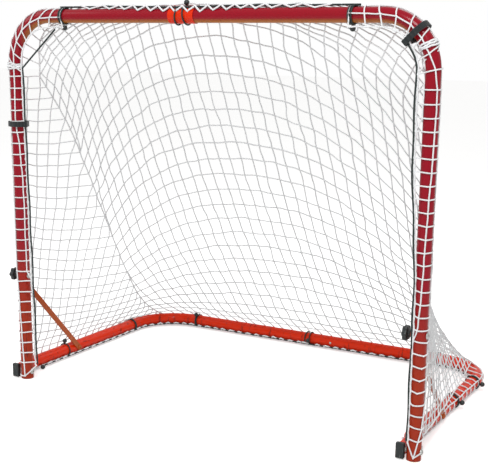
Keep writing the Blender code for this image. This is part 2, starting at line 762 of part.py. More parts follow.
LAST_PANEL_KNOT = steps_between(NET_PANEL_START, BASE_STRAIGHT, NET_PANEL_STEPS)[-2]
BAR_LOOPS = (
    ("left_bar", "left", 0.235, UP),
    ("left_side", "left", BASE_STRAIGHT - SIDE_LOOP_BEFORE_BEND, None),
    ("right_bar", "right", LAST_PANEL_KNOT - BAR_LOOP_BEFORE_KNOT, (1, 0, 0)),
    ("right_side", "right", BASE_STRAIGHT - SIDE_LOOP_BEFORE_BEND, (1, 0, 0)),
)
for label, side, y, towards in BAR_LOOPS:
    place = (bar_x(side), y, BASE_HEIGHT)
    loop(f"{label}_loop", place, (0, 1, 0), TUBE_RADIUS, base_axis)
    if towards:
        ball(f"{label}_ball", ball_centre(place, towards, TUBE_RADIUS), base_axis)


# Lacing cords
EDGE_Y = -WRAP_RADIUS
POST_CORD_IN = NET_EDGE_IN + KNOT_RADIUS + GAP + CORD_RADIUS


def beside_frame(side, run, inward, y):
    """A point beside the post, bend or crossbar."""
    centre, direction = frame_place(side, run)
    return centre + direction * inward + Vector((0, y, 0))


def post_cord(side, top_runs):
    """Cord through the net's front edge inside a post."""
    runs = [NET_FOOT + 2 * LOOP_RADIUS] + top_runs
    points = [beside_frame(side, run, POST_CORD_IN, EDGE_Y) for run in runs]
    cord = round_bar(points, CORD_RADIUS, CORD_SIDES)
    finish(cord, f"{side}_post_cord", black_rubber)


def crossbar_cord():
    """Cord through the rear net's top edge, along the top of the crossbar."""
    reach = CROSSBAR_CORD_REACH * math.sqrt(0.5)
    ends = [(x, reach, CROSSBAR_HEIGHT + reach) for x in CROSSBAR_CORD_ENDS]
    cord = round_bar(ends, CORD_RADIUS, CORD_SIDES)
    finish(cord, "crossbar_cord", black_rubber)


def base_cord():
    """Cord through the nets' lower edges, on the inner underside of the base bars."""
    inward = BASE_CORD_REACH * math.sqrt(0.5)
    runs = [PRESSED_REAR + PRESSED_RUN]
    runs += steps_between(BASE_STRAIGHT, BASE_STRAIGHT + BASE_BEND, BASE_CORD_STEPS)
    points = []
    for run in runs:
        centre, outward = base_place("left", run)
        points.append(centre - outward * inward - Vector((0, 0, inward)))
    for run in reversed(runs):
        centre, outward = base_place("right", run)
        points.append(centre - outward * inward - Vector((0, 0, inward)))
    stop_x = bar_x("left") + TUBE_RADIUS + BALL_RADIUS
    stop = Vector((stop_x, points[0].y, BALL_RADIUS + GAP))
    points[0] = stop + Vector((0, BALL_RADIUS + GAP, 0))
    points.insert(1, Vector((points[1].x, PRESSED_REAR + 2 * PRESSED_RUN, points[1].z)))
    cord = round_bar(points, CORD_RADIUS, CORD_SIDES)
    finish(cord, "base_cord", black_rubber, base_axis)
    ball("left_foot_ball", stop, base_axis)


STRAP_RUN = FRAME_STRAIGHT + FRAME_BEND / 2
post_cord("left", [POST_CORD_TOP, FRAME_STRAIGHT + FRAME_BEND])
post_cord("right", steps_between(FRAME_STRAIGHT, STRAP_RUN + STRAP_WIDTH, 8))
crossbar_cord()
base_cord()


# Hook and loop straps over post, net and cord
def belt(small, small_radius, large_radius, count):
    """Outline of a belt round a circle at the origin and a smaller one beside it."""
    reach = Vector(small)
    lean = math.degrees(math.atan2(reach.y, reach.x))
    wrap = math.degrees(math.acos((large_radius - small_radius) / reach.length))
    points = []
    for angle in steps_between(lean - wrap, lean + wrap, count // 2):
        turn = math.radians(angle)
        step = Vector((math.cos(turn), math.sin(turn)))
        points.append(tuple(reach + step * small_radius))
    for angle in steps_between(lean + wrap, lean + 360 - wrap, count):
        turn = math.radians(angle)
        points.append((large_radius * math.cos(turn), large_radius * math.sin(turn)))
    return points


def strap(name, side, run):
    """Flat band round the tube, the net and the cord beside it."""
    centre, inward = frame_place(side, run)
    inner = WRAP_RADIUS + KNOT_RADIUS + GAP
    points = belt((POST_CORD_IN, EDGE_Y), CORD_RADIUS + 3 * GAP, inner, 14)
    curve = bpy.data.curves.new("band", "CURVE")
    curve.dimensions = "3D"
    curve.extrude = STRAP_WIDTH / 2
    spline = curve.splines.new("POLY")
    spline.points.add(len(points) - 1)
    for place, point in zip(spline.points, points):
        place.co = (*point, 0, 1)
    spline.use_cyclic_u = True
    shape = bpy.data.objects.new("band", curve)
    bpy.context.scene.collection.objects.link(shape)
    band = to_mesh(shape)
    give_wall(band, STRAP_THICKNESS, offset=-1)
    across = Vector((0, 1, 0))
    along = inward.cross(across)
    turn = Matrix((inward, across, along)).transposed().to_4x4()
    band.matrix_world = Matrix.Translation(centre) @ turn
    finish(band, name, black_webbing)


strap("left_post_strap", "left", STRAP_HEIGHT)
strap("right_corner_strap", "right", STRAP_RUN)


# Nets: each a lattice of twine over a grid of knots
def lattice(name, rows):
    """Netting with a knot at each point of the grid."""
    mesh = bpy.data.meshes.new(name)
    work = bmesh.new()
    knots = [[work.verts.new(point) for point in row] for row in rows]
    for upper, lower in zip(knots, knots[1:]):
        for i in range(len(upper) - 1):
            work.faces.new((upper[i], upper[i + 1], lower[i + 1], lower[i]))
    bmesh.ops.recalc_face_normals(work, faces=work.faces)
    work.to_mesh(mesh)
    work.free()
    net = bpy.data.objects.new(name, mesh)
    bpy.context.scene.collection.objects.link(net)
    twine = net.modifiers.new("twine", "WIREFRAME")
    twine.thickness = TWINE
    twine.use_even_offset = True
    twine.use_relative_offset = False
    twine.use_boundary = True
    finish(net, name, white_twine)


def through(points, count):
    """Evenly stepped points on a smooth curve through the ones given."""
    ends = [points[0] * 2 - points[1]] + points + [points[-1] * 2 - points[-2]]
    fine = []
    for a, b, c, d in zip(ends, ends[1:], ends[2:], ends[3:]):
        for step in range(SEAM_STEPS):
            t = step / SEAM_STEPS
            bend = (2 * a - 5 * b + 4 * c - d) * t * t + (3 * b - a - 3 * c + d) * t**3
            fine.append((2 * b + (c - a) * t + bend) / 2)
    fine.append(points[-1])
    lengths = [0]
    for a, b in zip(fine, fine[1:]):
        lengths.append(lengths[-1] + (b - a).length)
    result = []
    at = 0
    for goal in steps_between(0, lengths[-1], count):
        while at < len(fine) - 2 and lengths[at + 1] < goal:
            at += 1
        share = (goal - lengths[at]) / (lengths[at + 1] - lengths[at])
        result.append(fine[at].lerp(fine[at + 1], min(max(share, 0), 1)))
    return result


# The seam from behind the post down to the rear corner, one line a knot:
# share of the way from post to bar, step in from there, then y and z
SEAM = (
    (0.0, 0.036, 0.062, 0.930),
    (0.35, 0.060, 0.180, 0.775),
    (0.8, 0.085, 0.330, 0.500),
    (1.0, 0.090, 0.450, 0.290),
    (1.0, 0.060, 0.600, 0.130),
)
SEAM_STEPS = 12
BEHIND_ELBOW = (0.066, 0.040, 0.056)
REAR_NET_PULL = (0.36, 0.52)
REAR_NET_LOW = (0.70, 0.115)
TOP_REACH = NET_TOP_REACH * math.sqrt(0.5)


def over_bar(side, run, which):
    """A knot where the net passes round the outside of a base bar."""
    out, up = NET_OVER_BAR[which]
    centre, outward = base_place(side, run)
    return centre + outward * out + Vector((0, 0, up))


def seam(side):
    """Knots of the rear net's side edge, from the crossbar to under the rear corner."""
    sign = SIDES[side]
    knots = []
    for share, step, y, z in SEAM:
        x = sign * POST_X + (bar_x(side) - sign * POST_X) * share - sign * step
        knots.append(Vector((x, y, z)))
    top = Vector((sign * CROSSBAR_NET_HALF, TOP_REACH, CROSSBAR_HEIGHT + TOP_REACH))
    inward, back, down = BEHIND_ELBOW
    line = [top, Vector((sign * (POST_X - inward), back, CROSSBAR_HEIGHT - down))]
    line += through(knots, SIDE_NET_ROWS - BAR_ROWS)
    line += [over_bar(side, BASE_CORNER, which) for which in range(BAR_ROWS)]
    return line


def rear_net():
    """Net from the crossbar down to the rear bar."""
    left, right = seam("left"), seam("right")
    free_rows = SIDE_NET_ROWS + ELBOW_ROWS - BAR_ROWS
    top = Vector((0, TOP_REACH, CROSSBAR_HEIGHT + TOP_REACH))
    low = Vector((0, *REAR_NET_LOW))
    pull = Vector((0, *REAR_NET_PULL))
    corner = steps_between(BASE_CORNER, BASE_STRAIGHT + BASE_BEND, NET_CORNER_STEPS)
    straight = [bar_x(side) - sign * REAR_BEND_RADIUS for side, sign in SIDES.items()]
    across = steps_between(*straight, REAR_BAR_STEPS)
    columns = 2 * NET_CORNER_STEPS + REAR_BAR_STEPS
    rows = []
    for r, (a, b) in enumerate(zip(left, right)):
        row = []
        if r > free_rows:
            which = r - free_rows - 1
            row += [over_bar("left", run, which) for run in corner]
            row += [over_rear_bar(x, which) for x in across[1:-1]]
            row += [over_bar("right", run, which) for run in reversed(corner)]
            rows.append(row)
            continue
        t = r / free_rows
        middle = top * (1 - t) ** 2 + pull * 2 * t * (1 - t) + low * t * t
        for share in steps_between(0, 1, columns):
            knot = a.lerp(b, share)
            fullness = 1 - (2 * share - 1) ** 2
            knot.y += (middle.y - knot.y) * fullness
            knot.z += (middle.z - knot.z) * fullness
            row.append(knot)
        rows.append(row)
    lattice("rear_net", rows)


def over_rear_bar(x, which):
    """A knot round the straight of the rear bar."""
    out, up = NET_OVER_BAR[which]
    return Vector((x, BASE_DEPTH + out, BASE_HEIGHT + up))


def side_net(side):
    """Net from the post's inner edge round its front and back to the seam."""
    sign = SIDES[side]
    line = seam(side)[ELBOW_ROWS:]
    bar_out = (bar_x(side) - sign * POST_X) * sign + NET_OVER_BAR[0][0]
    runs = steps_between(NET_PANEL_START, BASE_STRAIGHT, NET_PANEL_STEPS)
    runs += steps_between(BASE_STRAIGHT, BASE_CORNER - NET_SEAM_GAP, NET_CORNER_STEPS)[1:]
    rows = []
    for j, end in enumerate(line):
        height = NET_FOOT + (SIDE_NET_ROWS - j) * NET_ROW_PITCH
        around_bar = j - (SIDE_NET_ROWS + 1 - BAR_ROWS)
        out = max(NET_PANEL_OUT, bar_out) if j == SIDE_NET_ROWS else NET_PANEL_OUT
        wrap = (
            (-NET_EDGE_IN, EDGE_Y),
            (0, EDGE_Y),
            (WRAP_RADIUS * math.cos(NET_TURN), EDGE_Y * math.sin(NET_TURN)),
            (out, NET_PANEL_START),
        )
        row = [Vector((sign * (POST_X + x), y, height)) for x, y in wrap]
        start = row[-1]
        end = end + Vector((sign * NET_SEAM_GAP, 0, 0))
        if around_bar >= 0:
            row += [over_bar(side, run, around_bar) for run in runs[1:]]
            rows.append(row)
            continue
        for run in runs[1:]:
            share = (run - runs[0]) / (runs[-1] - runs[0])
            knot = start.lerp(end, share)
            knot.x = start.x + (end.x - start.x) * share**NET_PANEL_BOW
            row.append(knot)
        rows.append(row)
    lattice(f"{side}_side_net", rows)


rear_net()
for side in SIDES:
    side_net(side)

goal_origin.location = -ORIGIN
bpy.context.view_layer.update()
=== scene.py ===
"""Looks of a folding street hockey goal: enamelled steel tube frame, hinged base
frame, hooked flat braces, star knobs, and white netting laced on with shock cord.
Metres, +Z up, +Y towards the back of the goal."""

import json
import math

import bmesh
import bpy
from mathutils import Matrix, Vector, noise

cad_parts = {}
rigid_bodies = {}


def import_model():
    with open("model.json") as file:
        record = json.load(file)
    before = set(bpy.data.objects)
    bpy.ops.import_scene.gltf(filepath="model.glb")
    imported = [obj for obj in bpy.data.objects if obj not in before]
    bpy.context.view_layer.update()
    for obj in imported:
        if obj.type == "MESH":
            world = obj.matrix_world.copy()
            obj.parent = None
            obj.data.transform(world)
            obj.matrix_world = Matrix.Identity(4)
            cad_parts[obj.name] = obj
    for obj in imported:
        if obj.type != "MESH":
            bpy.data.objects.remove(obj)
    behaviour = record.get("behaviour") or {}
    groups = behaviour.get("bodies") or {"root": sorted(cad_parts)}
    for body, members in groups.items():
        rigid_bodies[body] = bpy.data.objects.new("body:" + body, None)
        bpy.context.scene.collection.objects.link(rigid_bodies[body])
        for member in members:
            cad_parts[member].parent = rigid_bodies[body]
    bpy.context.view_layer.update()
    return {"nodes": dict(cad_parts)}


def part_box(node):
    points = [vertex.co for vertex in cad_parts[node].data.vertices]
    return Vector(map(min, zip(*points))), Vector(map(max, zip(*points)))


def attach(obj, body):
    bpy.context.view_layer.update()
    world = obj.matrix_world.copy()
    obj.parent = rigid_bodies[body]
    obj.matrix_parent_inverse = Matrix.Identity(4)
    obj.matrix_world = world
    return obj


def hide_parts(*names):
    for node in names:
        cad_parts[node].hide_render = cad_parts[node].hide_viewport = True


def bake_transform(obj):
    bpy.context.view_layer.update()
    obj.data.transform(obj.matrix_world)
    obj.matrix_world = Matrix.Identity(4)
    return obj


for old in list(bpy.data.objects):
    bpy.data.objects.remove(old)

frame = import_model()

# Front frame
# Two lengths of round steel tube, each bent once into a post and half of the
# crossbar, with gloss crimson enamel that turns to brick red down the posts.
TUBE = 0.019
TUBE_WALL = 0.0015
TOP_BEND = 0.130
FULL_SIDES = 40

low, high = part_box("left_frame_tube")
POST_Y = (low.y + high.y) / 2
POST_X = {"left": low.x + TUBE, "right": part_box("right_frame_tube")[1].x - TUBE}
CROSSBAR_Z = high.z - TUBE
JOINT_X = high.x
SIDES = {"left": -1, "right": 1}
POST_STRAIGHT = CROSSBAR_Z - TOP_BEND
QUARTER = math.pi / 2


def spread(start, end, count):
    return [start + (end - start) * i / count for i in range(count + 1)]


def frame_at(side, run):
    """Centre of the tube and its inward direction, by length up from the ground."""
    sign, post = SIDES[side], POST_X[side]
    if run <= POST_STRAIGHT:
        return Vector((post, POST_Y, run)), Vector((-sign, 0, 0))
    turn = (run - POST_STRAIGHT) / TOP_BEND
    if turn <= QUARTER:
        inward = Vector((-sign * math.cos(turn), 0, -math.sin(turn)))
        middle = Vector((post - sign * TOP_BEND, POST_Y, POST_STRAIGHT))
        return middle - inward * TOP_BEND, inward
    beyond = run - POST_STRAIGHT - QUARTER * TOP_BEND
    x = post - sign * (TOP_BEND + beyond)
    return Vector((x, POST_Y, CROSSBAR_Z)), Vector((0, 0, -1))


def mesh_piece(name, verts, faces):
    """A new mesh object at the origin, smooth shaded."""
    mesh = bpy.data.meshes.new(name)
    mesh.from_pydata(verts, [], faces)
    mesh.shade_smooth()
    piece = bpy.data.objects.new(name, mesh)
    bpy.context.scene.collection.objects.link(piece)
    return piece


def tube_faces(rows, sides, closed=False):
    """Faces between rows of points, where each row is a ring."""
    faces = []
    for i in range(rows if closed else rows - 1):
        j = (i + 1) % rows
        for s in range(sides):
            t = (s + 1) % sides
            faces.append((i * sides + s, i * sides + t, j * sides + t, j * sides + s))
    return faces


def full_turn(count):
    return [2 * math.pi * s / count for s in range(count)]


def run_lengths(points):
    """Length along a line, up to each of its points."""
    lengths = [0.0]
    for a, b in zip(points, points[1:]):
        lengths.append(lengths[-1] + (b - a).length)
    return lengths


def sweep(name, line, radius, sides, closed=False, capped=True):
    """A round bar along a line of points, with a UV map: length in metres, and turn."""
    count = len(line)
    verts, side = [], None
    for i, point in enumerate(line):
        before = line[i - 1] if closed or i else point
        after = line[(i + 1) % count] if closed or i < count - 1 else point
        along = (after - before).normalized()
        if side is None:
            side = along.orthogonal()
        side = (side - along * side.dot(along)).normalized()
        other = along.cross(side)
        for turn in full_turn(sides):
            verts.append(point + (side * math.cos(turn) + other * math.sin(turn)) * radius)
    faces, uvs = tube_faces(count, sides, closed), []
    lengths = run_lengths(line + line[:1])
    for a, b in list(zip(lengths, lengths[1:]))[: len(faces) // sides]:
        for s in range(sides):
            uvs += [(a, s / sides), (a, (s + 1) / sides), (b, (s + 1) / sides), (b, s / sides)]
    if capped and not closed:
        faces.append(tuple(reversed(range(sides))))
        faces.append(tuple(range((count - 1) * sides, count * sides)))
        uvs += [(0.0, 0.0)] * (2 * sides)
    piece = mesh_piece(name, verts, faces)
    layer = piece.data.uv_layers.new(name="UVMap")
    for loop, uv in zip(layer.data, uvs):
        loop.uv = uv
    return piece


def give_wall(piece, thickness):
    wall = piece.modifiers.new("wall", "SOLIDIFY")
    wall.thickness = thickness
    wall.offset = -1
    wall.use_even_offset = True


def add(tree, kind, inputs=None, **settings):
    """One node with its settings, inputs given by name or number, as values or sockets."""
    made = tree.nodes.new(kind)
    for key, value in settings.items():
        setattr(made, key, value)
    for key, value in (inputs or {}).items():
        if isinstance(value, bpy.types.NodeSocket):
            tree.links.new(value, made.inputs[key])
        else:
            made.inputs[key].default_value = value
    return made


def mix(tree, factor, a, b):
    """A colour between two others."""
    made = add(tree, "ShaderNodeMix", {"Factor": factor}, data_type="RGBA")
    for socket, value in ((made.inputs[6], a), (made.inputs[7], b)):
        if isinstance(value, bpy.types.NodeSocket):
            tree.links.new(value, socket)
        else:
            socket.default_value = (*value, 1)
    return made.outputs[2]


def remap(tree, value, low=0.0, high=1.0, start=0.0, end=1.0):
    """A value carried from one range to another, and held to its ends."""
    given = {"Value": value, "From Min": low, "From Max": high, "To Min": start, "To Max": end}
    return add(tree, "ShaderNodeMapRange", given).outputs[0]


def calc(tree, operation, a, b=0.5):
    return add(tree, "ShaderNodeMath", {0: a, 1: b}, operation=operation).outputs[0]


def object_place(tree):
    return add(tree, "ShaderNodeTexCoord").outputs["Object"]


def axes(tree, vector):
    return add(tree, "ShaderNodeSeparateXYZ", {"Vector": vector}).outputs


def soft_noise(tree, place, scale, detail=2.0):
    return add(tree, "ShaderNodeTexNoise", {"Vector": place, "Scale": scale, "Detail": detail}).outputs[0]


def new_material(name, roughness, metallic=0.0, **sockets):
    """A Principled material; sockets hold one value all over."""
    made = bpy.data.materials.new(name)
    made.use_nodes = True
    shader = made.node_tree.nodes["Principled BSDF"]
    shader.inputs["Roughness"].default_value = roughness
    shader.inputs["Metallic"].default_value = metallic
    for label, value in sockets.items():
        shader.inputs[label.replace("_", " ")].default_value = value
    return made, made.node_tree, shader


def paint(tree, shader, colour, height=None, strength=0.0, distance=0.0):
    """A material's colour, and the height of its fine relief."""
    tree.links.new(colour, shader.inputs["Base Color"])
    if height is not None:
        relief = {"Strength": strength, "Distance": distance, "Height": height}
        tree.links.new(add(tree, "ShaderNodeBump", relief).outputs["Normal"], shader.inputs["Normal"])


def surface_wear():
    """Fine unevenness of a sprayed or moulded surface, and marks from use low down."""
    group = bpy.data.node_groups.new("surface_wear", "ShaderNodeTree")
    for label, value in {"Grain": 900.0, "Marks": 60.0, "Low": 0.25}.items():
        socket = group.interface.new_socket(label, in_out="INPUT", socket_type="NodeSocketFloat")
        socket.default_value = value
    given = group.nodes.new("NodeGroupInput").outputs
    place = object_place(group)
    stretch = add(group, "ShaderNodeMapping", {"Vector": place, "Scale": (3.0, 1.0, 0.35)})
    marks = soft_noise(group, stretch.outputs[0], given["Marks"], 6.0)
    near_ground = remap(group, axes(group, place)["Z"], 0.0, given["Low"], 0.10, 0.0)
    results = {
        "Tone": soft_noise(group, place, 7.0, 3.0),
        "Mark": remap(group, calc(group, "ADD", marks, near_ground), 0.69, 0.74),
        "Height": soft_noise(group, place, given["Grain"]),
    }
    for label in results:
        group.interface.new_socket(label, in_out="OUTPUT", socket_type="NodeSocketFloat")
    out = group.nodes.new("NodeGroupOutput")
    for label, value in results.items():
        group.links.new(value, out.inputs[label])
    return group


WEAR = surface_wear()


def worn(tree, scales=None):
    return add(tree, "ShaderNodeGroup", scales, node_tree=WEAR).outputs


# Colour of the painted reflection that tints the enamel's underside.
UNDERSIDE_REFLECTION_TINT = (0.42, 0.17, 0.03)


def enamel(name, top, foot, fade, under=0.0):
    """Gloss enamel: one colour above the fade's heights, another below, and a painted bronze reflection on
    its underside.
    """
    made, tree, shader = new_material(
        name, 0.3, Specular_IOR_Level=0.12, Coat_Weight=0.22, Coat_Roughness=0.07
    )
    wear = worn(tree)
    height = axes(tree, object_place(tree))["Z"]
    facing = axes(tree, add(tree, "ShaderNodeNewGeometry").outputs["Normal"])["Z"]
    colour = mix(tree, remap(tree, height, *fade), foot, top)
    # Painted reflection: faces that look down are tinted bronze, as if lit by the floor.
    colour = mix(tree, remap(tree, facing, -0.40, -0.80, 0.0, under), colour, UNDERSIDE_REFLECTION_TINT)
    colour = mix(tree, remap(tree, wear["Tone"], end=0.22), colour, [c * 0.72 for c in foot])
    colour = mix(tree, wear["Mark"], colour, [c * 0.45 for c in foot])
    tree.links.new(remap(tree, wear["Mark"], start=0.26, end=0.5), shader.inputs["Roughness"])
    paint(tree, shader, colour, wear["Height"], 0.08, 0.0004)
    return made


CRIMSON = (0.28, 0.001, 0.014)
BRICK = (0.34, 0.026, 0.005)
# The last figure is the strength of the painted bronze reflection underneath.
crimson_enamel = enamel("crimson_enamel", CRIMSON, BRICK, (0.22, 0.46), 0.85)

BEND_RUNS = spread(POST_STRAIGHT, POST_STRAIGHT + QUARTER * TOP_BEND, 20)
POST_FOOT = 0.0006
# A ring of points near each cut end, so that the smooth shading stops there.
END_RING = 0.002


def cover(piece, material):
    piece.data.materials.clear()
    piece.data.materials.append(material)


def dress(piece, material, slot, body, *nodes):
    """Gives a piece its material and its body, and hides the CAD nodes it stands for; the slot it is given is
    not used.
    """
    cover(piece, material)
    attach(piece, body)
    if nodes:
        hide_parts(*nodes)


for side in SIDES:
    runs = [POST_FOOT, POST_FOOT + END_RING, 0.5] + BEND_RUNS
    line = [frame_at(side, run)[0] for run in runs]
    line += [Vector((JOINT_X + SIDES[side] * ring, POST_Y, CROSSBAR_Z)) for ring in (END_RING, 0)]
    tube = sweep(f"{side}_post_and_crossbar", line, TUBE, FULL_SIDES, capped=False)
    give_wall(tube, TUBE_WALL)
    dress(tube, crimson_enamel, "red_enamel", "front_frame", f"{side}_frame_tube")

# Crossbar sleeve
# A short sleeve of the same tube, expanded and slid over the joint in the crossbar.
# It is painted with the base frame, so it is the brighter orange-red.
ORANGE = (0.70, 0.026, 0.001)
orange_enamel = enamel("orange_enamel", ORANGE, ORANGE, (0.0, 0.1))
SLEEVE_WALL = 0.0012
low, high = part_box("crossbar_sleeve")
line = [Vector((x, POST_Y, CROSSBAR_Z)) for x in spread(low.x, high.x, 8)]
sleeve = sweep("crossbar_joint_sleeve", line, (high.z - low.z) / 2, FULL_SIDES, capped=False)
give_wall(sleeve, SLEEVE_WALL)
edge = sleeve.modifiers.new("rolled_edge", "BEVEL")
edge.width = 0.0005
edge.segments = 2
edge.harden_normals = True
dress(sleeve, orange_enamel, "orange_enamel", "front_frame", "crossbar_sleeve")

# Base frame
# Two bent tubes that lie on the ground in a U and fold up on the hinge bolts.
# Each front end is pressed to a flat-sided section where the bolt goes through.
low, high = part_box("left_base_tube")
BAR_Z = (low.z + high.z) / 2
REAR_Y = high.y - TUBE
BAR_X = {"left": low.x + TUBE, "right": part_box("right_base_tube")[1].x - TUBE}
REAR_JOINT_X = high.x
REAR_BEND = 0.165
BAR_STRAIGHT = REAR_Y - POST_Y - REAR_BEND
BAR_BEND = QUARTER * REAR_BEND
PRESSED_HALF = 0.0095
PRESSED_FROM = 0.050
PRESSED_RUN = 0.040


def bar_at(side, run):
    """Centre of the base tube and its outward direction, by length back from the hinge."""
    sign, x = SIDES[side], BAR_X[side]
    if run <= BAR_STRAIGHT:
        return Vector((x, POST_Y + run, BAR_Z)), Vector((sign, 0, 0))
    turn = (run - BAR_STRAIGHT) / REAR_BEND
    if turn <= QUARTER:
        outward = Vector((sign * math.cos(turn), math.sin(turn), 0))
        middle = Vector((x - sign * REAR_BEND, REAR_Y - REAR_BEND, BAR_Z))
        return middle + outward * REAR_BEND, outward
    beyond = run - BAR_STRAIGHT - BAR_BEND
    return Vector((x - sign * (REAR_BEND + beyond), REAR_Y, BAR_Z)), Vector((0, 1, 0))


def held(value):
    """A value kept between 0 and 1."""
    return min(max(value, 0), 1)


def ease(value):
    """A share that leaves 0 and meets 1 gently."""
    share = held(value)
    return share * share * (3 - 2 * share)


def press(point, side):
    """Moves a point of the round tube to the section that pressing gives it."""
    share = ease((point.y - POST_Y - PRESSED_FROM) / PRESSED_RUN)
    power = 0.6 + 0.4 * share
    half = PRESSED_HALF + (TUBE - PRESSED_HALF) * share
    across = (point.x - BAR_X[side]) / TUBE
    up = (point.z - BAR_Z) / TUBE
    across = math.copysign(min(abs(across), 1) ** power, across)
    up = math.copysign(min(abs(up), 1) ** power, up)
    return Vector((BAR_X[side] + TUBE - half + half * across, point.y, BAR_Z + TUBE * up))


for side in SIDES:
    runs = spread(-0.0185, PRESSED_FROM, 6) + spread(PRESSED_FROM, PRESSED_FROM + PRESSED_RUN, 10)[1:]
    runs += [0.3] + spread(BAR_STRAIGHT, BAR_STRAIGHT + BAR_BEND, 20)
    line = [bar_at(side, run)[0] for run in runs]
    line += [Vector((REAR_JOINT_X + SIDES[side] * ring, REAR_Y, BAR_Z)) for ring in (END_RING, 0)]
    tube = sweep(f"{side}_base_bar", line, TUBE, FULL_SIDES, capped=False)
    for vertex in tube.data.vertices:
        if vertex.co.y < POST_Y + PRESSED_FROM + PRESSED_RUN:
            vertex.co = press(vertex.co, side)
    give_wall(tube, TUBE_WALL)
    dress(tube, orange_enamel, "orange_enamel", "base_frame", f"{side}_base_tube")

# Bar end caps, foot plugs and star knobs
# Black plastic mouldings: a cup pushed over each pressed end, a plug in the foot of
# each post, and a six-lobed knob with a collar screwed on each brace's top bolt.


def plain_surface(name, roughness, metallic, tones, mark, scales, relief):
    """An even surface: two tones, the colour of its marks, and its grain and relief."""
    made, tree, shader = new_material(name, roughness, metallic)
    wear = worn(tree, dict(zip(("Grain", "Marks"), scales)))
    colour = mix(tree, wear["Mark"], mix(tree, wear["Tone"], *tones), mark)
    paint(tree, shader, colour, wear["Height"], *relief)
    return made


PLASTIC_TONES = ((0.007, 0.011, 0.012), (0.020, 0.026, 0.026))
black_plastic = plain_surface(
    "black_plastic", 0.42, 0.0, PLASTIC_TONES, (0.07, 0.075, 0.072), (2600.0, 140.0), (0.25, 0.0003)
)


def soften(piece, width, segments=3):
    rounding = piece.modifiers.new("rounding", "BEVEL")
    rounding.width = width
    rounding.segments = segments
    rounding.angle_limit = math.radians(35)
    rounding.harden_normals = True


CAP_WALL = 0.0016
CAP_HOLLOW = 0.0018

for side in SIDES:
    low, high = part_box(f"{side}_bar_end_cap")
    corners = [Vector((x, y, z)) for x in (low.x, high.x) for y in (low.y, high.y) for z in (low.z, high.z)]
    faces = [(0, 1, 3, 2), (4, 6, 7, 5), (0, 4, 5, 1), (2, 3, 7, 6), (0, 2, 6, 4), (1, 5, 7, 3)]
    cap = mesh_piece(f"{side}_end_cap", corners, faces)
    bm = bmesh.new()
    bm.from_mesh(cap.data)
    back = [f for f in bm.faces if f.normal.y > 0.9]
    bmesh.ops.inset_region(bm, faces=back, thickness=CAP_WALL)
    for vertex in back[0].verts:
        vertex.co.y = low.y + CAP_HOLLOW
    bm.to_mesh(cap.data)
    bm.free()
    soften(cap, 0.0022)
    dress(cap, black_plastic, "black_plastic", "base_frame", f"{side}_bar_end_cap")

KNOB_LOBES = 6
LOBE_SIDES = 14
LOBE_DEPTH = 0.0018


def face_outwards(piece, weld=False):
    bm = bmesh.new()
    bm.from_mesh(piece.data)
    if weld:
        bmesh.ops.remove_doubles(bm, verts=bm.verts, dist=1e-6)
    bmesh.ops.recalc_face_normals(bm, faces=bm.faces)
    bm.to_mesh(piece.data)
    bm.free()


def star(name, low, high):
    """Six-lobed knob between two X planes, its collar towards the higher one."""
    radius = (high.z - low.z) / 2
    centre = Vector((0, (low.y + high.y) / 2, (low.z + high.z) / 2))
    count = KNOB_LOBES * LOBE_SIDES
    shoulder, edge = high.x - 0.0065, 0.0022
    rings = [
        (high.x, 0.0034, 0),
        (high.x, 0.0078, 0),
        (high.x - 0.0008, 0.0088, 0),
        (shoulder + 0.0012, 0.0092, 0),
        (shoulder, 0.0104, 0),
        (shoulder, radius - 0.006, 1),
        (shoulder - 0.0004, radius - edge * 0.7, 1),
        (shoulder - edge, radius, 1),
        (low.x + edge, radius, 1),
        (low.x + 0.0006, radius - edge * 0.6, 1),
        (low.x, radius - edge * 1.6, 1),
        (low.x, 0.0095, 0.3),
        (low.x + 0.0009, 0.0080, 0),
        (low.x + 0.0009, 0.0003, 0),
    ]
    verts = []
    for x, reach, lobed in rings:
        for turn in full_turn(count):
            out = reach - LOBE_DEPTH * (1 - math.cos(KNOB_LOBES * turn)) * lobed
            verts.append(Vector((x, out * math.cos(turn), out * math.sin(turn))) + centre)
    faces = tube_faces(len(rings), count)
    faces.append(tuple(reversed(range(count))))
    faces.append(tuple(range((len(rings) - 1) * count, len(rings) * count)))
    knob = mesh_piece(name, verts, faces)
    face_outwards(knob)
    knob.data.set_sharp_from_angle(angle=math.radians(50))
    return knob


for side in SIDES:
    node = f"{side}_knob"
    dress(star(f"{side}_star_knob", *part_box(node)), black_plastic, "black_plastic", node, node)

# Bolts, nuts and washers
# Zinc plated flange bolts with a socket in their domed heads go through both walls of
# the tubes from the right, into plain hexagon nuts; nylon washers keep the paint whole.
ZINC_TONES = ((0.42, 0.43, 0.43), (0.62, 0.62, 0.58))
zinc = plain_surface(
    "zinc_plate", 0.34, 1.0, ZINC_TONES, (0.22, 0.15, 0.09), (1500.0, 200.0), (0.15, 0.0002)
)
# From the head's middle out and down to its flange: radius, and height off the tube.
SOCKET = ((0.0000, 0.0022), (0.0022, 0.0022), (0.0024, 0.0047))
DOME = ((0.0042, 0.0045), (0.0062, 0.0034), (0.0070, 0.0020), (0.0072, 0.0014))
FLANGE = ((0.0088, 0.0012), (0.0090, 0.0008), (0.0090, 0.0000), (0.0030, 0.0000))


def turned_x(name, profile, sides):
    """A body turned about X from (radius, x) points."""
    verts = [(x, reach * math.cos(a), reach * math.sin(a)) for reach, x in profile for a in full_turn(sides)]
    faces = [(a, d, c, b) for a, b, c, d in tube_faces(len(profile), sides)]
    piece = mesh_piece(name, verts, faces)
    face_outwards(piece, weld=True)
    piece.data.set_sharp_from_angle(angle=math.radians(35))
    return piece


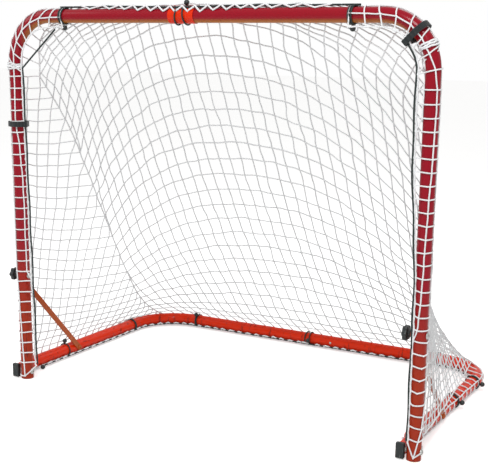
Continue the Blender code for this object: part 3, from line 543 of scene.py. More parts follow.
def node_modifier(name, inputs):
    """An empty Geometry Nodes tree with the inputs named."""
    tree = bpy.data.node_groups.new(name, "GeometryNodeTree")
    tree.interface.new_socket("Geometry", in_out="INPUT", socket_type="NodeSocketGeometry")
    tree.interface.new_socket("Geometry", in_out="OUTPUT", socket_type="NodeSocketGeometry")
    for label, kind in inputs.items():
        tree.interface.new_socket(label, in_out="INPUT", socket_type=f"NodeSocket{kind}")
    return tree, tree.nodes.new("NodeGroupInput"), tree.nodes.new("NodeGroupOutput")


def grow(name, seed, tree, values):
    """Runs a Geometry Nodes tree on a seed object and keeps its result as a plain mesh."""
    modifier = seed.modifiers.new("nodes", "NODES")
    modifier.node_group = tree
    for item in tree.interface.items_tree:
        if item.name in values:
            modifier[item.identifier] = values[item.name]
    bpy.context.view_layer.update()
    evaluated = seed.evaluated_get(bpy.context.evaluated_depsgraph_get())
    mesh = bpy.data.meshes.new_from_object(evaluated)
    bpy.data.objects.remove(seed)
    piece = bpy.data.objects.new(name, mesh)
    mesh.name = name
    bpy.context.scene.collection.objects.link(piece)
    return piece


def named(tree, name, kind="FLOAT"):
    return add(tree, "GeometryNodeInputNamedAttribute", {"Name": name}, data_type=kind).outputs["Attribute"]


def instances(tree, **inputs):
    return add(tree, "GeometryNodeInstanceOnPoints", inputs).outputs[0]


def deliver(tree, out, parts, material, smooth=False):
    """Joins what a tree has made into one real mesh with its material."""
    joined = add(tree, "GeometryNodeJoinGeometry")
    for part in parts:
        tree.links.new(part, joined.inputs[0])
    real = add(tree, "GeometryNodeRealizeInstances", {"Geometry": joined.outputs[0]}).outputs[0]
    if smooth:
        real = add(tree, "GeometryNodeSetShadeSmooth", {"Geometry": real}).outputs[0]
    covered = add(tree, "GeometryNodeSetMaterial", {"Geometry": real, "Material": material})
    tree.links.new(covered.outputs[0], out.inputs[0])


def bolt_tree():
    """A bolt at each point: the head given, and a shank as long as the point says."""
    inputs = {"Head": "Object", "Shank Radius": "Float", "Material": "Material"}
    tree, given, out = node_modifier("bolts", inputs)
    given = given.outputs
    head = add(tree, "GeometryNodeObjectInfo", {"Object": given["Head"]}).outputs["Geometry"]
    size = {"Vertices": 20, "Radius": given["Shank Radius"], "Depth": 1.0}
    shank = add(tree, "GeometryNodeMeshCylinder", size).outputs["Mesh"]
    laid = {"Geometry": shank, "Translation": (-0.5, 0, 0), "Rotation": (0, QUARTER, 0)}
    shank = add(tree, "GeometryNodeTransform", laid).outputs[0]
    scale = add(tree, "ShaderNodeCombineXYZ", {"X": named(tree, "length"), "Y": 1.0, "Z": 1.0})
    heads = instances(tree, Points=given["Geometry"], Instance=head)
    shanks = instances(tree, Points=given["Geometry"], Instance=shank, Scale=scale.outputs[0])
    deliver(tree, out, (heads, shanks), given["Material"])
    return tree


BOLTS = bolt_tree()
SHANK_RADIUS = 0.003
HEAD_DEPTH = 0.005
rust_enamel = enamel("rust_enamel", (0.34, 0.055, 0.012), (0.42, 0.085, 0.015), (0.02, 0.34))
bolt_head = turned_x("bolt_head_pattern", SOCKET + DOME + FLANGE, 24)
BOLT_SETS = (
    ("front_frame", zinc, ("left_hinge", "right_hinge", "left_brace_top", "right_brace_top")),
    ("base_frame", rust_enamel, ("left_brace_foot", "right_brace_foot")),
)
for body, metal, bolts in BOLT_SETS:
    places, lengths = [], []
    for bolt in bolts:
        low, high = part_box(f"{bolt}_bolt")
        head_x = high.x - HEAD_DEPTH
        places.append((head_x, (low.y + high.y) / 2, (low.z + high.z) / 2))
        lengths.append(head_x - low.x)
    seed = mesh_piece(f"{body}_bolts", places, [])
    seed.data.attributes.new("length", "FLOAT", "POINT").data.foreach_set("value", lengths)
    values = {"Head": bolt_head, "Shank Radius": SHANK_RADIUS, "Material": metal}
    bolts_made = grow(f"{body}_bolts", seed, BOLTS, values)
    bolts_made.data.set_sharp_from_angle(angle=math.radians(35))
    dress(bolts_made, metal, "zinc_steel", body, *[f"{bolt}_bolt" for bolt in bolts])
bpy.data.objects.remove(bolt_head)


def mottled(name, roughness, scale, *tones):
    """A matt surface that drifts between two close tones."""
    made, tree, shader = new_material(name, roughness)
    paint(tree, shader, mix(tree, soft_noise(tree, object_place(tree), scale), *tones))
    return made, tree, shader


washer_nylon = mottled("washer_nylon", 0.5, 60.0, (0.62, 0.61, 0.57), (0.8, 0.8, 0.76))[0]
# CAD nodes that keep their shape and only take a material.
FINISHES = {
    "hinge_nut": zinc,
    "brace_foot_nut": zinc,
    "hinge_washer": washer_nylon,
    "foot_plug": black_plastic,
}
for side in SIDES:
    for label, material in FINISHES.items():
        cover(frame["nodes"][f"{side}_{label}"], material)
cover(frame["nodes"]["rear_bar_spigot"], zinc)
cover(frame["nodes"]["rear_snap_button"], zinc)

# Braces
# Flat steel strips with round ends, drilled at the foot and notched at the top so that
# they lift off the knob's bolt; satin brown-orange enamel.
for side in SIDES:
    cover(frame["nodes"][f"{side}_brace"], rust_enamel)

# Shock cord loops and ball stops
# Braided black shock cord wound once or more round the bar over the net's edge, and a
# black plastic ball that its ends are knotted into.


def laid_strands(tree, pitch, turns):
    """Waves of the strands that wind round a cord, from its UV map."""
    place = axes(tree, add(tree, "ShaderNodeUVMap").outputs[0])
    along = calc(tree, "MULTIPLY", place["X"], pitch)
    turn = calc(tree, "MULTIPLY", place["Y"], turns * math.pi)
    return calc(tree, "SINE", calc(tree, "ADD", along, turn))


def braid():
    """Braided cover: two sets of strands that cross."""
    made, tree, shader = new_material("black_shock_cord", 0.62)
    waves = [laid_strands(tree, 2200.0, hand * 8) for hand in (1, -1)]
    strand = remap(tree, calc(tree, "MAXIMUM", *waves), -1.0)
    # Painted shade: the gaps between the strands are coloured darker than the strands' tops.
    paint(tree, shader, mix(tree, strand, (0.004, 0.008, 0.008), (0.016, 0.028, 0.026)), strand, 0.5, 0.0004)
    return made


shock_cord = braid()
LOOP_CORD = 0.0021
WIND_STEPS = 36


def winding(name, centre, axis, turns, reach, lean, pitch=0.0045):
    """Cord wound round a bar, leaning along it by lean from one side to the other."""
    other = axis.cross(Z_AXIS)
    points = []
    for i in range(WIND_STEPS * turns + (turns > 1)):
        turn = 2 * math.pi * i / WIND_STEPS
        along = lean * math.cos(turn)
        if turns > 1:
            along += pitch * (i / WIND_STEPS - turns / 2)
        points.append(centre + axis * along + (Z_AXIS * math.cos(turn) + other * math.sin(turn)) * reach)
    return sweep(name, points, LOOP_CORD, 10, closed=turns == 1)


def ball(name, node):
    """Ball stop, slightly flattened, with the collar that the cord goes into."""
    low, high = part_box(node)
    centre = (low + high) / 2
    radius = (high.z - low.z) / 2
    profile = [(0.0, radius * 0.80), (radius * 0.30, radius * 0.82), (radius * 0.34, radius * 0.93)]
    arc = spread(math.radians(22), math.radians(176), 14)
    profile += [(radius * math.sin(a), radius * math.cos(a)) for a in arc] + [(0.0, -radius)]
    piece = turned_x(name, profile, 24)
    for vertex in piece.data.vertices:
        vertex.co = Vector((vertex.co.z, vertex.co.y, vertex.co.x)) + centre
    piece.data.flip_normals()
    piece.data.set_sharp_from_angle(angle=math.radians(50))
    return piece


X_AXIS, Y_AXIS, Z_AXIS = Vector((1, 0, 0)), Vector((0, 1, 0)), Vector((0, 0, 1))
LOOPS = {
    "front_frame": (
        ("crossbar_left", X_AXIS, 3, 0.0015),
        ("crossbar_centre_left", X_AXIS, 1, 0.0028),
        ("crossbar_centre", X_AXIS, 1, -0.0032),
        ("crossbar_right", X_AXIS, 3, 0.0012),
    ),
    "base_frame": (
        ("rear_left", X_AXIS, 2, 0.0015),
        ("rear_centre_left", X_AXIS, 1, 0.001),
        ("rear_centre", X_AXIS, 1, -0.001),
        ("rear_right", X_AXIS, 2, 0.001),
        ("left_bar", Y_AXIS, 1, 0.001),
        ("left_side", Y_AXIS, 2, -0.001),
        ("right_bar", Y_AXIS, 2, 0.001),
        ("right_side", Y_AXIS, 2, 0.0015),
    ),
}
for body, loops in LOOPS.items():
    for name, axis, turns, lean in loops:
        low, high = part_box(f"{name}_loop")
        reach = (high.z - low.z) / 2 - LOOP_CORD
        loop = winding(f"{name}_cord_loop", (low + high) / 2, axis, turns, reach, lean)
        dress(loop, shock_cord, "black_rubber", body, f"{name}_loop")

BALLS = {
    "front_frame": ("crossbar_left", "crossbar_centre", "crossbar_right"),
    "base_frame": ("left_foot", "rear_left", "rear_centre", "left_bar", "right_bar", "right_side"),
}
for body, names in BALLS.items():
    for name in names:
        stop = ball(f"{name}_ball_stop", f"{name}_ball")
        dress(stop, black_plastic, "black_plastic", body, f"{name}_ball")

# Lacing cords
# One black shock cord runs inside each post, one on top of the crossbar and one round
# the underside of the base frame; the nets' edges are threaded on them.
CORD = 0.0025
CORD_BEYOND_EDGE = 0.0045
CROSSBAR_CORD_REACH = 0.0245
BASE_CORD_REACH = 0.0255
BASE_CORD_ANGLE = -142
BASE_CORD_FROM = 0.10


def net_edge(side, run):
    """The net's edge beside a post: how far in from its axis, and how far forward."""
    if side == "left":
        return 0.0315, -0.012
    share = held((run - 0.42) / 0.40)
    return 0.0085 + 0.0205 * share * share * (3 - 2 * share), -0.0238


def cord_sway(side, run):
    """How much further in the left cord stands off near the foot."""
    return 0.017 * max(1 - run / 0.95, 0) if side == "left" else 0.0


def cord_line(side, runs):
    line = []
    for run in runs:
        step_in, forward = net_edge(side, run)
        centre, inward = frame_at(side, run)
        sway = 0.0012 * math.sin(run * 37)
        reach_in = step_in + CORD_BEYOND_EDGE + sway + cord_sway(side, run)
        line.append(centre + inward * reach_in + Y_AXIS * forward)
    return line


def over_crossbar(x, far, more=0.0):
    """A point on the crossbar's top, nearer to the front towards the sleeve."""
    turn = math.radians(94 - 34 * math.exp(-(((x + 0.04) / 0.17) ** 2)) - more)
    return Vector((x, POST_Y - math.cos(turn) * far, CROSSBAR_Z + math.sin(turn) * far))


def bar_skin(side, run, angle, reach):
    """A point at a distance round the base bar: 0 degrees outward, 90 up."""
    centre, outward = bar_at(side, run)
    turn = math.radians(angle)
    return centre + (outward * math.cos(turn) + Z_AXIS * math.sin(turn)) * reach


ELBOW_TOP = POST_STRAIGHT + QUARTER * TOP_BEND
low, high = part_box("crossbar_cord")
CORDS = {
    "left_post": cord_line("left", spread(0.055, 0.955, 32) + [ELBOW_TOP + 0.03]),
    "right_post": cord_line("right", spread(0.055, 0.93, 34) + spread(0.95, POST_STRAIGHT + 0.11, 8)),
    "crossbar": [over_crossbar(x, CROSSBAR_CORD_REACH) for x in spread(low.x, high.x, 60)],
}
for label, line in CORDS.items():
    cord = sweep(f"{label}_lacing_cord", line, CORD, 10)
    dress(cord, shock_cord, "black_rubber", "front_frame", f"{label}_cord")

REAR_MIDDLE_X = (BAR_X["left"] + BAR_X["right"]) / 2
REAR_HALF = {
    side: BAR_STRAIGHT + BAR_BEND + abs(BAR_X[side] - sign * REAR_BEND - REAR_MIDDLE_X)
    for side, sign in SIDES.items()
}


def round_the_base(start):
    """Places on the base bars from the left one's start round to the right one's."""
    left = [("left", run) for run in spread(start, REAR_HALF["left"], 60)]
    return left + [("right", run) for run in reversed(spread(start, REAR_HALF["right"], 60)[:-1])]


line = [bar_skin(*place, BASE_CORD_ANGLE, BASE_CORD_REACH) for place in round_the_base(BASE_CORD_FROM)]
low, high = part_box("left_foot_ball")
line.insert(0, Vector(((low.x + high.x) / 2, high.y + 0.002, (low.z + high.z) / 2)))
cord = sweep("base_lacing_cord", line, CORD, 10)
dress(cord, shock_cord, "black_rubber", "base_frame", "base_cord")

# Straps
# Hook and loop straps of black webbing, one on the left post and one on the right
# upper bend, wrapped over the net and its cord with the end lapped over.


def webbing():
    made, tree, shader = new_material("black_webbing", 0.85, Sheen_Weight=0.2)
    uv = add(tree, "ShaderNodeUVMap").outputs[0]
    weave = add(tree, "ShaderNodeTexWave", {"Vector": uv, "Scale": 260.0}, bands_direction="X")
    rib = add(tree, "ShaderNodeTexWave", {"Vector": uv, "Scale": 190.0}, bands_direction="Y")
    height = calc(tree, "MULTIPLY", weave.outputs[1], rib.outputs[1])
    # Painted shade: the weave's low places are coloured darker than its raised ribs.
    paint(tree, shader, mix(tree, height, (0.004, 0.007, 0.008), (0.020, 0.028, 0.030)), height, 0.6, 0.0005)
    return made


black_webbing = webbing()
STRAP_WIDTH = 0.0155
STRAP_THICK = 0.0024
STRAP_REACH = 0.0268
STRAP_LAP = 22


def strap(name, node, side, run):
    """A lapped band round the tube and the cord beside it."""
    centre, inward = frame_at(side, run)
    along = inward.cross(Y_AXIS)
    step_in, forward = net_edge(side, run)
    cord_at = Vector((step_in + CORD_BEYOND_EDGE, forward))
    small = CORD + 0.0016
    lean = math.atan2(cord_at.y, cord_at.x)
    wrap = math.acos((STRAP_REACH - small) / cord_at.length)
    loop = [cord_at + Vector((math.cos(a), math.sin(a))) * small for a in spread(lean - wrap, lean + wrap, 8)]
    round_tube = spread(lean + wrap, lean + 2 * math.pi - wrap, 40)
    loop += [Vector((math.cos(a), math.sin(a))) * STRAP_REACH for a in round_tube]
    verts = []
    for i, point in enumerate(loop + loop[:STRAP_LAP]):
        out = Vector((point.x, point.y)).normalized()
        lap = STRAP_THICK * 1.15 * held((i - len(loop) + 3) / 3)
        for far, edge in ((0, -1), (0, 1), (1, 1), (1, -1)):
            flat = point + out * (lap + far * STRAP_THICK)
            verts.append(centre + inward * flat.x + Y_AXIS * flat.y + along * (edge * STRAP_WIDTH / 2))
    last = len(verts) - 4
    faces = tube_faces(len(verts) // 4, 4) + [(3, 2, 1, 0), (last, last + 1, last + 2, last + 3)]
    band = mesh_piece(name, verts, faces)
    layer = band.data.uv_layers.new(name="UVMap")
    for corner, place in zip(band.data.loops, layer.data):
        vertex = corner.vertex_index
        place.uv = ((vertex // 4) * 0.0042, STRAP_WIDTH * (vertex % 4 in (1, 2)))
    face_outwards(band)
    soften(band, 0.0006, 2)
    dress(band, black_webbing, "black_webbing", "front_frame", node)


strap("left_post_webbing_strap", "left_post_strap", "left", 0.792)
strap("right_bend_webbing_strap", "right_corner_strap", "right", POST_STRAIGHT + QUARTER * TOP_BEND / 2)

# Side and rear netting
# White knotted twine in 38 mm squares. Each side net is threaded on the cord inside its
# post, goes round the post's front and back to a seam with the rear net, and both go
# round the base bars to the cord underneath.
CELL = 0.038
TWINE = 0.0019
KNOT = 0.0027
ON_TUBE = TUBE + TWINE + 0.0006
POST_ROWS = 27
ELBOW_ROWS = 8
ROWS = ELBOW_ROWS + POST_ROWS + 1
NET_LOW, NET_HIGH = 0.030, 0.930
NET_OVER_CROSSBAR = 0.0262
# Where the seam meets the crossbar: behind its middle line and above it.
SEAM_TOP = (POST_Y + 0.0195, CROSSBAR_Z + 0.009)
RING_RUN = {
    "left": ELBOW_TOP + (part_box("crossbar_left_loop")[0].x + 0.004 - POST_X["left"] - TOP_BEND),
    "right": ELBOW_TOP + (POST_X["right"] - TOP_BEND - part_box("crossbar_right_loop")[1].x + 0.004),
}
# Down the seam: share of the way from post to bar, step inward, how far back, height.
SEAM_GUIDES = (
    (0.0, 0.036, 0.062, 0.930),
    (0.35, 0.060, 0.180, 0.775),
    (0.8, 0.085, 0.330, 0.500),
    (1.0, 0.090, 0.450, 0.290),
    (1.0, 0.060, 0.600, 0.130),
)
CORNER_RUN = BAR_STRAIGHT + BAR_BEND / 2
BAR_NET_FROM = 0.036
BAR_ANGLES = (30, -50, -126)


def evenly(points, count):
    """Evenly stepped points along a polyline."""
    lengths = run_lengths(points)
    made, at = [], 0
    for goal in spread(0, lengths[-1], count):
        while at < len(points) - 2 and lengths[at + 1] < goal:
            at += 1
        share = (goal - lengths[at]) / max(lengths[at + 1] - lengths[at], 1e-9)
        made.append(points[at].lerp(points[at + 1], held(share)))
    return made


def smooth(points, steps=14):
    """A smooth line through the points given."""
    ends = [points[0] * 2 - points[1]] + points + [points[-1] * 2 - points[-2]]
    line = []
    for a, b, c, d in zip(ends, ends[1:], ends[2:], ends[3:]):
        for t in spread(0, 1, steps)[:-1]:
            bend = (2 * a - 5 * b + 4 * c - d) * t * t + (3 * b - a - 3 * c + d) * t**3
            line.append((2 * b + (c - a) * t + bend) / 2)
    return line + [points[-1]]


def push_out(point, plane, axis, reach):
    """Moves a point away from an axis, in the plane of two of its coordinates."""
    flat = Vector([point[n] - at for n, at in zip(plane, axis)])
    if 1e-6 < flat.length < reach:
        flat *= reach / flat.length
        for n, at, off in zip(plane, axis, flat):
            point[n] = at + off


def clear(point):
    """Moves a point of the net out of the tubes that it lies on."""
    point = point.copy()
    for side, sign in SIDES.items():
        if (point.x - REAR_JOINT_X) * sign < 0:
            continue
        if point.z < POST_STRAIGHT:
            push_out(point, (0, 1), (POST_X[side], POST_Y), ON_TUBE)
        elif (POST_X[side] - sign * TOP_BEND - point.x) * sign < 0:
            middle = Vector((POST_X[side] - sign * TOP_BEND, POST_Y, POST_STRAIGHT))
            ray = Vector((point.x - middle.x, 0, point.z - middle.z)).normalized()
            axis = middle + ray * TOP_BEND
            if (point - axis).length < ON_TUBE:
                point = axis + (point - axis).normalized() * ON_TUBE
        else:
            reach = ON_TUBE + (0.002 if abs(point.x + 0.035) < 0.045 else 0)
            push_out(point, (1, 2), (POST_Y, CROSSBAR_Z), reach)
        if POST_Y + 0.02 < point.y < POST_Y + BAR_STRAIGHT:
            push_out(point, (0, 2), (BAR_X[side], BAR_Z), ON_TUBE)
    return point


def wobble(point, size):
    return point + noise.noise_vector(point * 21.0) * size


class Netting:
    """Strands and knots of one piece of net, as the seed for the twine tree."""

    def __init__(self):
        self.verts, self.edges, self.knots, self.widths = [], [], [], []

    def point(self, place, knot, width):
        self.verts.append(place)
        self.knots.append(knot)
        self.widths.append(width)

    def strand(self, points, knots=(), width=1.0, slack=0.0022, fine=3):
        first = len(self.verts)
        for i, point in enumerate(points):
            self.point(point, i in knots, width)
            if i < len(points) - 1:
                for step in range(1, fine):
                    between = point.lerp(points[i + 1], step / fine)
                    self.point(clear(wobble(between, slack)), False, width)
        self.edges += [(i, i + 1) for i in range(first, len(self.verts) - 1)]

    def make(self, name):
        mesh = bpy.data.meshes.new(name)
        mesh.from_pydata(self.verts, self.edges, [])
        mesh.attributes.new("knot", "BOOLEAN", "POINT").data.foreach_set("value", self.knots)
        mesh.attributes.new("width", "FLOAT", "POINT").data.foreach_set("value", self.widths)
        seed = bpy.data.objects.new(f"{name}_seed", mesh)
        bpy.context.scene.collection.objects.link(seed)
        values = {"Radius": TWINE, "Knot Radius": KNOT, "Material": white_twine}
        return grow(name, seed, TWINE_TREE, values)


def store(tree, geometry, name, value, kind="FLOAT", domain="POINT"):
    given = {"Geometry": geometry, "Name": name, "Value": value}
    return add(tree, "GeometryNodeStoreNamedAttribute", given, data_type=kind, domain=domain).outputs[0]


def random_vector(tree, low, high, seed):
    given = {0: low, 1: high, "Seed": seed}
    return add(tree, "FunctionNodeRandomValue", given, data_type="FLOAT_VECTOR").outputs[0]


def twine_tree():
    """Round twine along every edge, and a knot at each point marked as one."""
    inputs = {"Radius": "Float", "Knot Radius": "Float", "Material": "Material"}
    tree, given, out = node_modifier("twine_netting", inputs)
    given = given.outputs
    curves = add(tree, "GeometryNodeMeshToCurve", {"Mesh": given["Geometry"]}).outputs[0]
    run = add(tree, "GeometryNodeSplineParameter").outputs["Length"]
    section = {"Resolution": 6, "Radius": given["Radius"]}
    section = add(tree, "GeometryNodeCurvePrimitiveCircle", section).outputs[0]
    turn = add(tree, "GeometryNodeSplineParameter").outputs["Factor"]
    swept = {
        "Curve": store(tree, curves, "run", run),
        "Profile Curve": store(tree, section, "turn", turn),
        "Scale": named(tree, "width"),
        "Fill Caps": True,
    }
    twine = add(tree, "GeometryNodeCurveToMesh", swept).outputs[0]
    place = add(tree, "ShaderNodeCombineXYZ", {"X": named(tree, "run"), "Y": named(tree, "turn")})
    twine = store(tree, twine, "UVMap", place.outputs[0], "FLOAT2", "CORNER")
    bead = {"Radius": given["Knot Radius"], "Subdivisions": 1}
    knots = instances(
        tree,
        Points=given["Geometry"],
        Selection=named(tree, "knot", "BOOLEAN"),
        Instance=add(tree, "GeometryNodeMeshIcoSphere", bead).outputs["Mesh"],
        Rotation=random_vector(tree, (0, 0, 0), (3.1, 3.1, 3.1), 5),
        Scale=random_vector(tree, (0.85, 0.85, 0.8), (1.2, 1.15, 1.1), 9),
    )
    deliver(tree, out, (knots, twine), given["Material"], smooth=True)
    return tree


TWINE_TREE = twine_tree()


def twine_cloth():
    """White polyester twine of three strands, with painted shade in the grooves between them and painted
    shade greying it where it hangs free behind the posts.
    """
    made, tree, shader = new_material("white_twine", 0.75, Sheen_Weight=0.25)
    wave = laid_strands(tree, 1500.0, 6)
    place = object_place(tree)
    colour = mix(tree, soft_noise(tree, place, 14.0, 3.0), (0.74, 0.755, 0.77), (0.90, 0.915, 0.93))
    # Painted shade: the grooves between the twisted strands are coloured darker.
    colour = mix(tree, remap(tree, wave, -1.0, -0.2, 0.35, 0.0), colour, (0.45, 0.45, 0.44))
    # Painted shade: twine behind the posts, above the base bar, is coloured greyer.
    parts = axes(tree, place)
    behind = remap(tree, parts["Y"], POST_Y + 0.025, POST_Y + 0.09)
    above = remap(tree, parts["Z"], 0.05, 0.11, 0.0, 0.85)
    colour = mix(tree, calc(tree, "MULTIPLY", behind, above), colour, (0.62, 0.63, 0.64))
    paint(tree, shader, colour, remap(tree, wave, -1.0), 0.5, 0.0004)
    return made


white_twine = twine_cloth()


def seam_points(side):
    """Knots of the seam: down behind the elbow, then to the top of the rear corner."""
    sign = SIDES[side]
    guides = []
    for share, step, y, z in SEAM_GUIDES:
        x = POST_X[side] + (BAR_X[side] - POST_X[side]) * share - sign * step
        guides.append(Vector((x, POST_Y + y, z)))
    guides.append(bar_skin(side, CORNER_RUN, BAR_ANGLES[0], ON_TUBE))
    down = evenly(smooth(guides), POST_ROWS + 1)
    ring_x = frame_at(side, RING_RUN[side])[0].x
    behind = Vector((POST_X[side] - sign * 0.066, POST_Y + 0.040, CROSSBAR_Z - 0.056))
    elbow = smooth([Vector((ring_x, *SEAM_TOP)), behind, down[0]])
    elbow = evenly([over_crossbar(ring_x, NET_OVER_CROSSBAR)] + elbow, ELBOW_ROWS)
    return [clear(point) for point in elbow + down[1:]]


SEAM = {side: seam_points(side) for side in SIDES}


# Where one column of knots runs on each post, by height: degrees from the front, inner
# side less than 0. Its neighbours are COLUMN_STEP further round.
LEFT_LOW = ((0.00, -128), (0.04, -115), (0.14, -106), (0.24, -94), (0.30, -84), (0.34, -67))
LEFT_HIGH = ((0.56, -65), (0.63, -61), (0.67, -50), (0.74, -46), (0.78, -22), (0.93, -24), (1.30, -5))
RIGHT_LOW = ((0.00, -287), (0.04, -277), (0.08, -230), (0.12, -220), (0.15, -206), (0.19, -175))
RIGHT_MIDDLE = ((0.26, -151), (0.30, -141), (0.33, -105), (0.41, -86), (0.52, -76), (0.67, -67))
RIGHT_HIGH = ((0.74, -56), (0.93, -46), (0.97, -65), (1.02, -98), (1.30, -86))
COLUMN_TURNS = {"left": LEFT_LOW + LEFT_HIGH, "right": RIGHT_LOW + RIGHT_MIDDLE + RIGHT_HIGH}
COLUMN_STEP = 98
POST_COLUMNS = 4
LAST_TURN = 118


def column_turn(side, run):
    guides = COLUMN_TURNS[side]
    for (low_run, low_turn), (high_run, high_turn) in zip(guides, guides[1:]):
        if run <= high_run:
            share = max(run - low_run, 0) / (high_run - low_run)
            return low_turn + (high_turn - low_turn) * share
    return guides[-1][1]


def tube_skin(side, run, turn, far=ON_TUBE):
    """A point on the post or bend, by degrees from the front towards its outer side."""
    centre, inward = frame_at(side, run)
    turn = math.radians(turn)
    return centre + (Y_AXIS * -math.cos(turn) - inward * math.sin(turn)) * far


def wrap_row(side, j):
    """A row's part round the post or bend: its edge knot, its knots by column, its way out."""
    sign = SIDES[side]
    if j < ELBOW_ROWS:
        run = RING_RUN[side] + (NET_HIGH - RING_RUN[side]) * j / ELBOW_ROWS
        lean = (0.024 if side == "left" else 0.008) * min(j / 2, 1)
    else:
        run = NET_HIGH + (NET_LOW - NET_HIGH) * (j - ELBOW_ROWS) / (POST_ROWS + 1)
        lean = 0.0
    last = j == ROWS
    dip = 0.002 + 0.006 * max(1 - run / 0.8, 0)
    stray = noise.noise(Vector((run * 47.0, sign * 5.0, 1)))
    edge_run = run - lean + (0.020 if last else 0.004 * stray)
    step_in, forward = net_edge(side, edge_run)
    centre, inward = frame_at(side, edge_run)
    edge = centre + inward * (step_in + 0.001 * stray + cord_sway(side, edge_run)) + Y_AXIS * forward
    knots = {}
    first_turn = 1 - math.degrees(math.atan2(step_in, -forward))
    for n in range(POST_COLUMNS):
        uneven = 6 * noise.noise(Vector((run * 31.0, n, sign)))
        turn = column_turn(side, run) + COLUMN_STEP * n + uneven
        if first_turn < turn < LAST_TURN:
            spot = tube_skin(side, run + lean * turn / 60, turn)
            knots[n] = spot - Z_AXIS * (dip * (2.4 if last else 1)) * (j > ELBOW_ROWS)
    if last:
        back = tube_skin(side, run + 0.006, LAST_TURN)
    elif j < ELBOW_ROWS:
        back = tube_skin(side, run + lean, 148, ON_TUBE + 0.001)
    elif side == "right":
        back = tube_skin(side, run, 134)
    else:
        low = held((0.20 - run) / 0.17)
        back = Vector((POST_X[side] + sign * (0.030 + 0.034 * low * low), POST_Y + 0.030, run))
    return {"run": run, "edge": edge, "knots": knots, "back": back}


def cells(path, pitch, start=0.0):
    """Knots along a path by number, every pitch from start."""
    knots, total = {}, 0.0
    for a, b in zip(path, path[1:]):
        step = (b - a).length
        k = max(math.ceil((total - start) / pitch), 0)
        if start + k * pitch < total + step and start + k * pitch >= 0.012:
            knots[k] = a.lerp(b, (start + k * pitch - total) / max(step, 1e-9))
        total += step
    return {k: point for k, point in knots.items() if (point - path[-1]).length > 0.012}


def join_columns(net, rows, columns, starts, ends, **settings):
    """Strands down columns of knots: rows of knots by number, and the ends they meet."""
    for k in range(columns):
        line = []
        for i, row in enumerate(rows):
            if k in row:
                if not line and i:
                    line.append(starts[i - 1])
                line.append(row[k])
            elif line:
                line.append(ends[i])
                break
        if len(line) > 1:
            net.strand(line, **settings)


def hang(piece, cloth, *nodes):
    """Netting that is fixed to both frames, left in place with its shape baked in, attached to neither body.
    """
    cover(piece, white_twine)
    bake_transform(piece)
    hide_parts(*nodes)


def lace(piece, body, cloth, *nodes):
    """Netting wound round one frame's tube."""
    dress(piece, white_twine, "white_twine", body, *nodes)


def lower_edge(net, places):
    """Rows round a bar and the wavy edge that they end in, looped over the cord."""
    wave = []
    for i, (side, run) in enumerate(places):
        row = [bar_skin(side, run, turn, ON_TUBE) for turn in spread(*BAR_ANGLES[::2], 10)]
        net.strand(row, knots=(0, 6, 10), fine=1)
        wave.append(bar_skin(side, run, BAR_ANGLES[2], 0.0235))
        if i < len(places) - 1:
            beyond = places[i + 1][1] if places[i + 1][0] == side else run
            halfway = (run + beyond) / 2
            stray = noise.noise(Vector((halfway * 19, SIDES[side], 4)))
            wave.append(bar_skin(side, halfway, -160 - 8 * stray, 0.0285 + 0.001 * stray))
    net.strand(wave, width=1.35, fine=4, slack=0.0012)


# Where the net and a knot of cord are drawn together on each bend: run and turns.
GATHERS = {"left": (0.962, 4), "right": (1.035, 3)}
EDGE_TURN = {"left": -62, "right": -48}
PANEL_COLUMNS = 40


def post_netting(side, wraps):
    """The side net's part round the post and bend, from its edge to where it leaves."""
    post = Netting()
    for wrap in wraps:
        points = [wrap["edge"]] + [wrap["knots"][n] for n in sorted(wrap["knots"])] + [wrap["back"]]
        post.strand(points, knots=range(len(points)), fine=7, slack=0.0008)
    edge = []
    for wrap, below in zip(wraps, wraps[1:]):
        middle = tube_skin(side, (wrap["run"] + below["run"]) / 2, EDGE_TURN[side], ON_TUBE + 0.004)
        edge += [wrap["edge"], (wrap["edge"] + below["edge"]) / 2 * 0.82 + middle * 0.18]
    post.strand(edge + [wraps[-1]["edge"]], width=1.2, fine=3, slack=0.0012)
    backs, edges = [wrap["back"] for wrap in wraps], [wrap["edge"] for wrap in wraps]
    rows = [wrap["knots"] for wrap in wraps]
    join_columns(post, rows, POST_COLUMNS, backs, edges, fine=4, slack=0.0016)
    post.strand(backs[:-1], fine=4, slack=0.001)
    gather_run, turns = GATHERS[side]
    for i in range(turns):
        spots = []
        for turn in spread(-92, 125, 9):
            uneven = noise.noise(Vector((turn * 0.03, i * 3.1, SIDES[side])))
            shift = 0.0045 * (i - turns / 2) + 0.006 * uneven
            spots.append(tube_skin(side, gather_run + shift, turn, ON_TUBE + 0.0016 + 0.0012 * (i % 2)))
        post.strand(spots, knots=(0, 4, 9), width=1.25, fine=2, slack=0.001)
    return post.make(f"{side}_post_netting")


